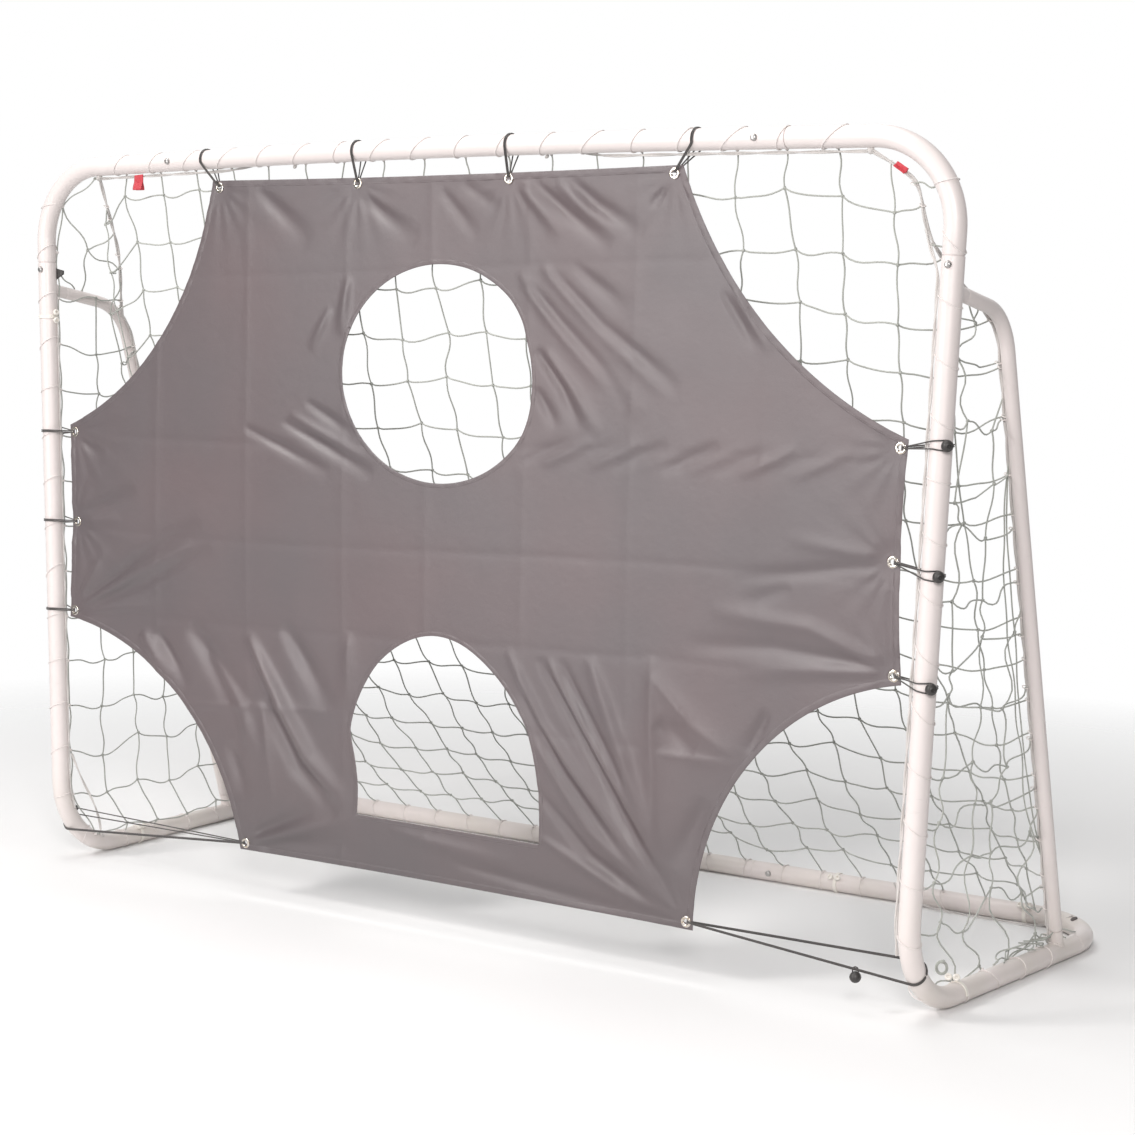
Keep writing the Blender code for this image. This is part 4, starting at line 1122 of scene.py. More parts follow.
def side_net(shape, ties, s, rope):
    """A side panel: down lines a mesh apart behind the upright, and cross lines from it to the rope."""
    slack = 0.10 if s > 0 else 0.055
    drift = 0.013 if s > 0 else 0.006
    high, low = CORNER_Z - 0.075, AXIS_Z + 0.030
    narrowest = 0.035
    table = []
    for k in range(SIDE_ROWS + 1):
        z = high + (low - high) * k / SIDE_ROWS
        near = axis_at(s, z) + off_upright(s)
        far = point_at_z(rope, z) + Vector((-s * 0.002, -0.004, 0))
        far.z = z
        wide = far.y - near.y
        row = [near]
        i = 1
        while wide - i * SIDE_PITCH > narrowest:
            point = near.lerp(far, i * SIDE_PITCH / wide) + jitter(0.004, drift, drift * 1.4)
            point.z -= 0.012 * (i % 2)
            row.append(point)
            i += 1
        row.append(far)
        table.append(row)
        way = (axis_at(s, z + 0.01) - axis_at(s, z - 0.01)).normalized()
        lace(ties, axis_at(s, z), way, s * chance.uniform(0.004, 0.018))
        knot(ties, near, END_KNOT)
        tie(ties, far)
    for k, row in enumerate(table):
        if s < 0 and k < 2:
            strand(shape, row[0], table[k + 1][0], 0.0, UPRIGHT_SWAY)
            continue
        for i, (a, b) in enumerate(zip(row, row[1:])):
            strand(shape, a, b, slack * 0.7, slack, 11)
            if i:
                knot(shape, a, MESH_KNOT)
        if k == SIDE_ROWS:
            continue
        below = table[k + 1]
        for i in range(1, len(below) - 1):
            if i < len(row) - 1:
                strand(shape, row[i], below[i], 0.0, slack)
            else:
                strand(shape, point_at_z(rope, (row[-1].z + below[i].z) / 2), below[i], 0.0, slack * 0.5)
        strand(shape, row[0], below[0], 0.0, UPRIGHT_SWAY)
    foot, back = side_corners(s)[1], side_ways(s)[1]
    for point in table[-1][1:-1]:
        on_rail = foot + back * (point - foot).dot(back)
        top = on_rail + Vector((-s * 0.012, 0, TUBE_R * 0.85))
        strand(shape, point, top, 0.0, 0.02)
        lace(ties, on_rail, back, chance.uniform(-0.016, 0.016))
        knot(ties, top, END_KNOT)


def upper_left(shape, rope):
    """The stretched meshes in the upper left corner, drawn together above the stay."""
    at_upright, bend, _ = stay_corners(-1)
    on_stay = Z * (STAY_R + TWINE_R)
    tied = axis_at(-1, 1.389) + off_upright(-1)
    under_bar = front(-0.902, CORNER_Z - BESIDE, 0.004)
    middle = (axis_at(-1, 1.301) + off_upright(-1)).lerp(point_at_z(rope, 1.301), 0.5)
    strand(shape, under_bar, tied, 0.0, EDGE_SWAY)
    for end, droop in ((tied, 0.0), (point_at_z(rope, 1.336), 0.08), (point_at_z(rope, 1.258), 0.0),
                       (at_upright.lerp(bend, 0.46) + on_stay, 0.0)):
        strand(shape, middle, end, droop, 0.09)
        knot(shape, end, 0.0030)
    knot(shape, middle, 0.0036)
    knot(shape, under_bar, END_KNOT)
    strap = upright_at(-1, 1.244) + STRAP_WAY * (TUBE_R + 0.010)
    strand(shape, strap, at_upright.lerp(bend, 0.36) + on_stay, 0.0, EDGE_SWAY)


def gathered(shape, s, rope):
    """Surplus net: slack strands beside the rope, loops laid along the rail and a tied ring at the foot."""
    high, fall = 0.93, 0.066
    for offset, swing in ((0.014, 0.006), (0.026, 0.010)):
        line = []
        for i in range(12):
            point = point_at_z(rope, high - fall * i)
            away = Vector((-s * (offset * 0.4 + chance.uniform(0, 0.012)), -offset, 0))
            away += Vector((0, chance.uniform(-swing, swing), chance.uniform(-0.01, 0.01)))
            line.append(point + away * math.sin(math.pi * i / 11) ** 0.5)
        shape.tube(smooth_line(line, 0.008), TWINE_R, 6)
    foot, back = side_corners(s)[1], side_ways(s)[1]
    first_loop, loop_step, point_step, loop_rise = 0.31, 0.044, 0.019, 0.026
    for loop in range(5):
        line = []
        for i in range(9):
            along = first_loop + loop_step * loop + point_step * i + chance.uniform(-0.012, 0.012)
            angle = 1.30 + 0.45 * math.sin(i * 1.7 + loop * 2.1)
            rise = math.sin(math.pi * i / 8) * (0.35 + 0.65 * abs(math.sin(i * 1.4 + loop * 1.3)))
            reach = TUBE_R + TWINE_R + 0.0008 + loop_rise * rise * chance.uniform(0.8, 1.0)
            away = Vector((-s * math.cos(angle) * reach, 0, math.sin(angle) * reach))
            line.append(foot + back * along + away)
        shape.tube(smooth_line(line, 0.005), TWINE_R, 6)
    centre = foot + back * 0.150 + Vector((-s * 0.014, 0, 0.048))
    for radius, lean in ((0.0105, 0.42), (0.0092, 0.62), (0.0080, 0.30)):
        ring = [centre + (Z * math.sin(a) * 1.15 + (X * 0.9 + Y * lean) * math.cos(a)) * radius
                for a in turns(20)]
        shape.tube(ring, TWINE_R * 0.9, 6, closed=True)
    for _ in range(3):
        knot(shape, ring[5] + Vector((chance.gauss(0, 0.002), 0, 0.002)), 0.0038)


def header_rope(finish):
    """The rope in the net's top edge: under the crossbar near the corners, behind it in the middle."""
    reach = HALF - ROPE_TOP_INSET
    off = TUBE_R + 2 * STRAND_R + 0.0006
    behind_middle, behind_half, change = -0.09, 0.333, 0.16
    line = []
    for t in shares(60):
        x = -reach + 2 * reach * t
        share = min(1.0, max(0.0, (abs(x - behind_middle) - behind_half) / change))
        angle = math.radians(76 - 68 * share * share * (3 - 2 * share))
        line.append(front(x, bar_z(x) - off * math.cos(angle) - 0.001, off * math.sin(angle)))
    shape = Shape()
    twisted(shape, along_length(line, 0.008), STRAND_R * 0.8)
    for x in (-0.36, 0.235):
        knot(shape, front(x, bar_z(x) - TUBE_R - 0.003, 0.006), ROPE_TIE_R)
    show("net_header_cord", shape, finish)


# Points of the net's edge cords, as x, z and how far behind the uprights
INTO_RIGHT_EDGE = ((0.966, 1.317, 0.046), (0.990, 1.280, 0.020))
SLACK_LEFT_END = ((-0.972, 0.235, 0.004), (-0.962, 0.180, 0.022), (-0.948, 0.125, 0.046),
                  (-0.951, 0.080, 0.066), (-0.968, 0.048, 0.085), (-0.985, 0.0375, 0.110))
ON_THE_FLOOR = ((0.580, 0.0400, 0.7900), (0.600, 0.0200, 0.7805), (0.650, 0.0065, 0.7760),
                (0.720, 0.0030, 0.7745), (0.790, 0.0034, 0.7715), (0.850, 0.0030, 0.7755),
                (0.905, 0.0045, 0.7700), (0.945, 0.0180, 0.7640), (0.980, 0.0400, 0.7560))
EDGE_FOOT_Z = 0.115


def edge_ropes(finish):
    """The net's front edge cords down the uprights, a slack end at the left foot and a lower edge."""
    shape = Shape()
    for s, top, strand_r in ((1, 1.245, STRAND_R * 0.85), (-1, 1.150, STRAND_R * 0.55)):
        line = [front(*p) for p in INTO_RIGHT_EDGE] if s > 0 else []
        for i in range(27):
            z = top + (EDGE_FOOT_Z - top) * i / 26
            outside = TUBE_R + 2 * strand_r + 0.0002 + 0.0008 * abs(math.sin(i * 1.3))
            line.append(axis_at(s, z) + Vector((-s * 0.97, -s * 0.24, 0)) * outside)
        twisted(shape, smooth_line(line, 0.008), strand_r)
    for points, strand_r in ((SLACK_LEFT_END, STRAND_R * 0.7), (ON_THE_FLOOR, STRAND_R * 0.6)):
        twisted(shape, smooth_line([front(*p) for p in points], 0.006), strand_r)
    show("net_edge_cord", shape, finish)


# The target sheet

CLOTH_T = 0.0005
GRID = 0.0065
HEM = 0.012
HOLE_HEM = 0.008
HEM_T = 0.00066
HEM_LIFT = 0.00012           # how far every second edge run's hem stands over its neighbours
STITCH = 0.0030
STITCH_GAP = 0.0013
SEAM_IN = 0.0022
THREAD_R = 0.00028
EYELET_CUT_R = 0.0062

# Each fold in millimetres: its half width, how far its crest stands out, and its line as x, z, x, z and so on
SOFT_FOLDS = (
    # from the round hole's right side towards the right edge
    (16, 6, 180, 1250, 230, 1190, 350, 1080, 460, 1000),
    (13, -8, 200, 1230, 270, 1160, 370, 1070, 430, 1010),
    (14, 6, 230, 1260, 330, 1175, 510, 1035), (13, -8, 250, 1250, 360, 1155, 530, 1040),
    (14, -4, 300, 1260, 360, 1220, 420, 1180), (11, -7, 220, 1110, 280, 1040, 320, 970),
    (13, 5, 240, 1110, 310, 1030, 360, 960), (10, -5, 220, 1040, 270, 970),
    # down from the top edge
    (13, 5, 180, 1410, 280, 1310), (12, -6, 210, 1410, 290, 1350, 380, 1290),
    (13, 4, 260, 1410, 330, 1355, 410, 1310), (15, -6, 290, 1410, 350, 1365, 450, 1310),
    (13, -4, 0, 1400, 90, 1310), (12, -3, 50, 1410, 140, 1360), (17, -5, -190, 1390, -50, 1310),
    (18, -5, -450, 1410, -310, 1310), (9, -4, 500, 1400, 460, 1360),
    # left of the round hole
    (11, 6, -215, 1240, -235, 1130), (9, 5, -260, 1180, -310, 1100), (10, -6, -320, 1000, -200, 940),
    (11, -8, -380, 960, -150, 865), (10, 5, -360, 975, -170, 895), (10, -7, -480, 945, -260, 865),
    # in from the left edge
    (9, -4, -950, 905, -870, 875), (12, -5, -950, 745, -780, 805), (10, 3, -940, 730, -820, 745),
    (14, -8, -940, 560, -780, 665, -600, 750), (9, 7, -940, 555, -770, 638, -620, 705),
    (12, -7, -930, 550, -770, 610, -570, 700), (10, 4, -940, 570, -860, 680),
    (11, 4, -930, 545, -720, 575),
    # the lower left flap
    (20, 8, -760, 515, -680, 420), (14, -7, -720, 520, -630, 410), (26, -10, -630, 540, -460, 360),
    (18, 8, -580, 490, -490, 390, -440, 270), (20, 14, -470, 530, -310, 300, -200, 205),
    (22, -10, -380, 560, -250, 400), (18, -11, -430, 410, -340, 280, -230, 205),
    (18, -6, -520, 310, -470, 200),
    # fans from the two lower eyelets
    (14, 8, -470, 112, -190, 200), (14, -7, -460, 125, -300, 200), (16, -6, -450, 108, -150, 155),
    (13, 9, 170, 560, 250, 430, 410, 260, 550, 120),
    (12, -11, 240, 550, 320, 440, 460, 240, 550, 130),
    (11, 9, 262, 550, 345, 430, 475, 250), (10, -7, 290, 550, 365, 430, 460, 280),
    (18, 8, 350, 560, 430, 380, 520, 180), (13, -8, 200, 490, 300, 340, 430, 210),
    (12, 7, 240, 390, 360, 250, 530, 125), (12, -7, 240, 310, 360, 200, 530, 110),
    (10, 6, 250, 220, 420, 150, 540, 110), (12, -5, 50, 145, 350, 118, 530, 105),
    (14, 5, -100, 185, 200, 160),
    # the lower right flap
    (26, -8, 500, 460, 580, 415), (13, -6, 720, 500, 680, 420), (22, -6, 600, 330, 540, 200),
    # in from the right edge
    (14, -6, 940, 595, 730, 612, 550, 600), (13, 5, 940, 590, 660, 565),
    (15, 6, 940, 600, 800, 650, 600, 665), (12, -4, 930, 768, 640, 722), (12, 3, 930, 775, 750, 800),
    (16, -3, 760, 715, 660, 680), (7, -4, 610, 1215, 680, 1115), (7, 4, 630, 1220, 710, 1110),
)
SHARP_FOLDS = (
    # the lower left flap
    (16, 7, -210, 560, -210, 410), (16, 6, -430, 390, -400, 190),
    (12, 5, -640, 375, -450, 390, -200, 400),
    # the lower right flap
    (24, 9, 483, 575, 497, 200), (20, 9, 485, 540, 570, 460, 670, 405), (10, 5, 500, 405, 660, 400),
)
# Short puckers along the packing crease right of the round hole, each falling to the left
PUCKER_FROM, PUCKER_TO, PUCKER_STEP = 0.30, 0.95, 0.052
PUCKER_TOP, PUCKER_FALL, PUCKER_REACH = 0.952, 0.052, 0.115
PUCKER_WIDTH, PUCKER_HEIGHT = 0.009, 0.0032
# Where the sheet was folded flat in its pack
CREASES_X = (-0.72, -0.475, -0.225, -0.022, 0.20, 0.43, 0.70)
CREASES_Z = (0.40, 0.558, 0.728, 0.925, 1.255)
CREASE_WIDTH, CREASE_HEIGHT = 0.0075, 0.0009
EYELET_RAYS, RAY_HEIGHT, RAY_REACH = 15, 0.0015, 0.060
FLAT_AT_EYELET, FLAT_FADE = 0.013, 0.035
# How far the arch's sides are pulled out of their ellipse: height above its foot, and shift to the right
ARCH_PULLS = {"left": ((0.000, 0.018), (0.030, 0.020), (0.060, 0.019), (0.090, 0.012), (0.115, 0.003),
                       (0.140, -0.009), (0.165, -0.020), (0.190, -0.024), (0.300, -0.026), (0.365, -0.017)),
              "right": ((0.000, 0.003), (0.100, 0.004), (0.220, 0.006), (0.280, -0.003), (0.330, -0.013),
                        (0.365, -0.017))}
# The same for the round hole's right side
HOLE_PULLS = ((0.0, 0.0), (0.10, -0.004), (0.17, -0.015), (0.22, -0.018), (0.27, -0.018), (0.30, -0.012),
              (0.346, -0.005), (0.38, -0.004), (0.408, 0.0))


def eyelets():
    """Name, x, z and the member that each eyelet's elastic holds on to."""
    found = []
    for i in range(len(TOP_LOOP_DRAW)):
        reach = SHEET_TOP_HALF - TOP_EYELET_INSET
        x = SHEET_TOP_SHIFT + reach * (2 * i / (len(TOP_LOOP_DRAW) - 1) - 1)
        found.append((f"top_{i + 1}", x, SHEET_TOP - EYELET_INSET, "bar"))
    for side, s in SIDES.items():
        middle = SHEET_MIDDLE + SHEET_SIDE_SHIFTS[side]
        for i, drawn in enumerate((0, EDGE_HOLLOW, 0)):
            x = s * (SHEET_SIDE_HALF - drawn - EYELET_INSET)
            found.append((f"{side}_{i + 1}", x, middle + SIDE_EYELET_STEP * (1 - i), side))
    for side, s in SIDES.items():
        x = SHEET_BOTTOM_SHIFT + s * (SHEET_BOTTOM_HALF - EYELET_INSET)
        found.append((f"bottom_{side}", x, SHEET_BOTTOM + EYELET_INSET, side + "_foot"))
    return found


def bowed(start, end, depth):
    """Points of a circular arc from start to end, bowed by depth to the right of that way."""
    chord = end - start
    radius = (chord.length ** 2 / 4 + depth ** 2) / (2 * depth)
    right = Vector((chord.y, -chord.x)).normalized()
    centre = (start + end) / 2 + right * (depth - radius)
    sweep = 2 * math.asin(chord.length / (2 * radius))
    return [centre + Matrix.Rotation(sweep * t, 2) @ (start - centre) for t in shares(80)]


def sheet_edges():
    """The sheet's edge as runs between its corners, clockwise from the top edge."""
    corners = {}
    for side, s in SIDES.items():
        middle = Vector((s * SHEET_SIDE_HALF, SHEET_MIDDLE + SHEET_SIDE_SHIFTS[side]))
        up = Vector((0, SHEET_SIDE_TALL / 2))
        corners[side] = [Vector((SHEET_TOP_SHIFT + s * SHEET_TOP_HALF, SHEET_TOP)), middle + up, middle - up,
                         Vector((SHEET_BOTTOM_SHIFT + s * SHEET_BOTTOM_HALF, SHEET_BOTTOM))]
    ends = corners["right"] + corners["left"][::-1]
    starts = ends[-1:] + ends[:-1]
    hollows = (EDGE_HOLLOW / 2, EDGE_HOLLOW) * 2
    depths = [depth for pair in zip(hollows, CUT_DEPTHS.values()) for depth in pair]
    return [along_length(bowed(*run), GRID) for run in zip(starts, ends, depths)]


def pulled(side, x, z):
    """A point of the arch's edge, moved to where the sheet's folds pull it."""
    heights, shifts = zip(*ARCH_PULLS[side])
    return Vector((x + float(np.interp(z - SHEET_BOTTOM - ARCH_BOTTOM, heights, shifts)), z))


def hole_edges():
    """The round hole and the arched one, each as runs between corners, anticlockwise."""
    middle = SHEET_TOP - HOLE_DROP
    ring = []
    for t in shares(200):
        angle = 2 * math.pi * t
        height = HOLE_TALL / 2 * (1 + math.sin(angle))
        pull = float(np.interp(height, *zip(*HOLE_PULLS))) if math.cos(angle) > 0 else 0.0
        ring.append(Vector((HOLE_WIDE / 2 * math.cos(angle) + pull, middle - HOLE_TALL / 2 + height)))
    low = SHEET_BOTTOM + ARCH_BOTTOM
    over = [pulled("right", ARCH_X + ARCH_WIDE / 2, low)]
    for t in shares(60):
        across = ARCH_WIDE / 2 * math.cos(math.pi * t)
        height = SHEET_BOTTOM + ARCH_SPRING + (ARCH_TOP - ARCH_SPRING) * math.sin(math.pi * t)
        over.append(pulled("right" if t < 0.5 else "left", ARCH_X + across, height))
    over.append(pulled("left", ARCH_X - ARCH_WIDE / 2, low))
    return [[along_length(run, GRID) for run in hole] for hole in ([ring], [over, [over[-1], over[0]]])]


def line_field(x, z, line):
    """Share along a line of the nearest point on it, and the distance to it, for arrays of points."""
    line = np.array(line, float)
    start = run_of(line)
    best = np.full(x.shape, 1e9)
    share = np.zeros(x.shape)
    for i, step in enumerate(np.diff(start)):
        way = (line[i + 1] - line[i]) / step
        t = np.clip((x - line[i, 0]) * way[0] + (z - line[i, 1]) * way[1], 0, step)
        off = np.hypot(x - line[i, 0] - way[0] * t, z - line[i, 1] - way[1] * t)
        nearer = off < best
        best = np.where(nearer, off, best)
        share = np.where(nearer, (start[i] + t) / start[-1], share)
    return share, best


def fold_out(x, z, fold, sharp):
    """How far one fold stands out at each point."""
    width, height, *line = np.array(fold) / 1000
    share, off = line_field(x, z, np.reshape(line, (-1, 2)))
    wide = width * (0.62 + 0.6 * share)
    across = np.exp(-off / wide) if sharp else np.exp(-(off / wide) ** 2)
    return height * across * np.clip(np.sin(math.pi * np.clip(share, 0, 1) ** 0.75), 0, 1) ** 0.8


def sheet_out(x, z):
    """How far the cloth stands out towards the front at each point."""
    out = sum(fold_out(x, z, fold, False) for fold in SOFT_FOLDS)
    out += sum(fold_out(x, z, fold, True) for fold in SHARP_FOLDS)
    for i in range(int((PUCKER_TO - PUCKER_FROM) / PUCKER_STEP)):
        right = PUCKER_FROM + i * PUCKER_STEP
        tall = PUCKER_HEIGHT * (1 if i % 2 else -1) * (0.6 + 0.4 * math.sin(i * 2.3))
        line = ((right, PUCKER_TOP), (right - PUCKER_REACH, PUCKER_TOP - PUCKER_FALL))
        share, off = line_field(x, z, line)
        out += tall * np.exp(-(off / PUCKER_WIDTH) ** 2) * np.sin(math.pi * share) ** 0.7
    for at in CREASES_X:
        out += CREASE_HEIGHT * np.exp(-np.abs(x - at - 0.004 * np.sin(z * 6)) / CREASE_WIDTH)
    for at in CREASES_Z:
        out -= CREASE_HEIGHT * np.exp(-np.abs(z - at - 0.012 * np.sin(x * 2.6)) / CREASE_WIDTH)
    out += 0.0035 * np.sin(x * 5.1 + 0.6) * np.sin(z * 4.3 + x * 1.4)
    for index, (_, ring_x, ring_z, _) in enumerate(eyelets()):
        away = np.hypot(x - ring_x, z - ring_z)
        angle = np.arctan2(z - ring_z, x - ring_x)
        swell = np.exp(-away / RAY_REACH) * np.clip(away / 0.03, 0, 1)
        out += RAY_HEIGHT * np.cos(EYELET_RAYS * angle + index * 1.7 + 5 * away) * swell
    for _, ring_x, ring_z, _ in eyelets():
        away = np.clip((np.hypot(x - ring_x, z - ring_z) - FLAT_AT_EYELET) / FLAT_FADE, 0, 1)
        out *= away * away * (3 - 2 * away)
    return out


def inside(points, outline):
    """Which of the points lie inside a closed outline."""
    x, z = points[:, 0], points[:, 1]
    found = np.zeros(len(points), bool)
    before = outline[-1]
    for after in outline:
        crosses = (before[1] > z) != (after[1] > z)
        with np.errstate(divide="ignore", invalid="ignore"):
            at = before[0] + (z - before[1]) / (after[1] - before[1]) * (after[0] - before[0])
        found ^= crosses & (x < at)
        before = after
    return found


def cloth_points(flat, lift=0.0):
    """Places in space of flat points on the sheet, lifted off it towards the front."""
    out = sheet_out(flat[..., 0], flat[..., 1]) + lift
    return np.stack([flat[..., 0], FRONT_Y - out, flat[..., 1]], -1)


def sheet_grid(rings):
    """Flat points all over the cloth, clear of the rings that bound it."""
    low, high = rings[0].min(0), rings[0].max(0)
    columns = np.arange(low[0], high[0], GRID)
    rows = np.arange(low[1], high[1], GRID * 0.87)
    grid = np.array([(x + (k % 2) * GRID / 2, z) for k, z in enumerate(rows) for x in columns])
    edge = np.concatenate(rings)
    tree = KDTree(len(edge))
    for i, p in enumerate(edge):
        tree.insert((*p, 0), i)
    tree.balance()
    grid = grid[on_cloth(grid, rings)]
    return np.array([p for p in grid if tree.find((*p, 0))[2] > GRID * 0.5])


def on_cloth(points, rings):
    """Which of the points lie inside the first ring and outside all the others."""
    keep = inside(points, rings[0])
    for ring in rings[1:]:
        keep &= ~inside(points, ring)
    return keep


def make_sheet(finish):
    runs, holes = sheet_edges(), hole_edges()
    rings = [array_of(p for run in closed for p in run[:-1]) for closed in [runs] + holes]
    for _, x, z, _ in eyelets():
        rings.append(np.array([(x + EYELET_CUT_R * math.cos(a), z + EYELET_CUT_R * math.sin(a))
                               for a in turns(20)]))
    points = [Vector(p) for p in np.concatenate(rings + [sheet_grid(rings)])]
    edges, start = [], 0
    for ring in rings:
        edges += [(start + i, start + (i + 1) % len(ring)) for i in range(len(ring))]
        start += len(ring)
    made = delaunay_2d_cdt(points, edges, [], 0, 1e-6)
    flat = array_of(made[0])
    faces = np.array([f for f in made[2] if len(f) == 3])
    faces = faces[on_cloth(flat[faces].mean(1), rings)]
    a, b, c = (flat[faces[:, k]] for k in range(3))
    turned = np.cross(b - a, c - a) < 0
    faces[turned] = faces[turned][:, ::-1]
    shape = Shape()
    shape.add(cloth_points(flat), faces)
    sheet = show("target_cloth", shape, finish, replaces=["target_sheet"], smooth_angle=85)
    thicken(sheet, CLOTH_T)

    hems, thread = Shape(), Shape()
    for index, run in enumerate(runs):
        hem(hems, thread, run, HEM, HEM_LIFT * (index % 2))
    for hole in holes:
        for run in hole:
            hem(hems, thread, run, HOLE_HEM, 0.0)
    hem_piece = show("target_hem", hems, finish, smooth_angle=60)
    stitches = show("target_stitching", thread, THREAD)


def hem(shape, thread, run, wide, lift):
    """A doubled edge along a run, inward of it, with its line of stitches."""
    line = array_of(run)
    way = np.gradient(line, axis=0)
    way /= np.linalg.norm(way, axis=1)[:, None]
    inward = np.stack([way[:, 1], -way[:, 0]], 1)
    length = run_of(line)
    pucker = 0.00025 * (np.sin(length * 2 * math.pi / 0.014) + np.sin(length * 2 * math.pi / 0.037))
    front_half = [(-0.0005, 0.0), (-0.0002, 0.0004), (0.001, 0.00062), (wide * 0.5, HEM_T),
                  (wide - 0.001, 0.00058), (wide, 0.00028)]
    section = front_half + [(off, -out) for off, out in front_half[:0:-1]]
    rows = []
    for off, out in section:
        waved = pucker * (abs(out) >= 4e-4)
        rows.append(cloth_points(line + inward * off, out * (1 + lift / HEM_T) + waved))
    rows = np.stack(rows, 1)
    shape.grid(rows, around=True, u=length, flip=True)
    shape.cap(rows[0])
    shape.cap(rows[-1], flip=True)

    def at_length(at, table):
        return np.stack([np.interp(at, length, table[:, k]) for k in (0, 1)], 1)

    starts = np.arange(0.004, length[-1] - STITCH, STITCH + STITCH_GAP)
    seam = line + inward * (wide - SEAM_IN)
    across = np.insert(at_length(starts, inward), 1, 0, axis=1)[:, None, None]
    out = np.array((0.0, -1.0, 0.0))
    for face in (1, -1):
        rows = []
        for share, height in ((0.0, 0.00060), (0.5, 0.00090), (1.0, 0.00060)):
            at = starts + STITCH * share
            rows.append(cloth_points(at_length(at, seam), face * height + np.interp(at, length, pucker)))
        rows = np.stack(rows, 1)[:, :, None]
        thick = np.array((0.5, 1.0, 0.5))[None, :, None, None] * THREAD_R
        section = [rows + (across * a + out * b) * thick for a, b in ((1, 0), (0, 1), (-1, 0), (0, -1))]
        for stitch in np.concatenate(section, 2):
            thread.grid(stitch, around=True)


def make_eyelets(finish):
    """Rolled rings: a domed flange in front, a washer behind and a barrel through the cloth."""
    lip = CLOTH_T / 2 + 0.0009
    roll = (EYELET_R - EYELET_HOLE_R) / 2
    flange = [(EYELET_HOLE_R + roll * (1 - math.cos(a)), lip + 0.0011 * math.sin(a))
              for a in np.linspace(0, math.pi, 13)]
    profile = [(EYELET_HOLE_R, -lip)] + flange
    profile += [(EYELET_R, lip - 0.0004), (EYELET_R - 0.0006, lip - 0.0005),
                (EYELET_HOLE_R + 0.0008, lip - 0.0005), (EYELET_HOLE_R + 0.0008, -lip + 0.0005),
                (EYELET_R - 0.0006, -lip + 0.0005), (EYELET_R, -lip + 0.0003),
                (EYELET_R - 0.0003, -lip - 0.0003), (EYELET_HOLE_R + 0.0012, -lip - 0.0006),
                (EYELET_HOLE_R, -lip)]
    for name, x, z, _ in eyelets():
        show_turned("ring_" + name, profile, frame_of(front(x, z), -Y, X), finish,
                    replaces=["eyelet_" + name])


# Ball elastics

CORD_R = 0.0013
CORDS_APART = 0.0015         # from the middle of a doubled cord to the middle of each of its two
EYELET_APART = 0.0014        # the same where they go through the eyelet
LOOP_HALF = 0.0088           # how far the loop opens to either side to pass over its ball
LOOP_PAST = 0.50             # how far round the tube past the ball the loop closes, as an angle
FOOT_LEAN = -0.007           # how far an elastic at a foot leans along its tube
HELD_ABOVE = {"right_1": 0.008, "right_2": -0.016, "right_3": -0.012}


def held_at(name, member, x, z):
    """Where an eyelet's elastic goes round the frame: a point on the tube's axis and the axis's way."""
    if member == "bar":
        x += TOP_LOOP_DRAW[int(name[-1]) - 1]
        return front(x, bar_z(x)), X
    if member in SIDES:
        s = SIDES[member]
        return upright_at(s, z + HELD_ABOVE.get(name, 0.0)), side_ways(s)[0]
    before, here, after = side_axis(SIDES[member.split("_")[0]], 5)[3:6]
    return here, (after - before).normalized()


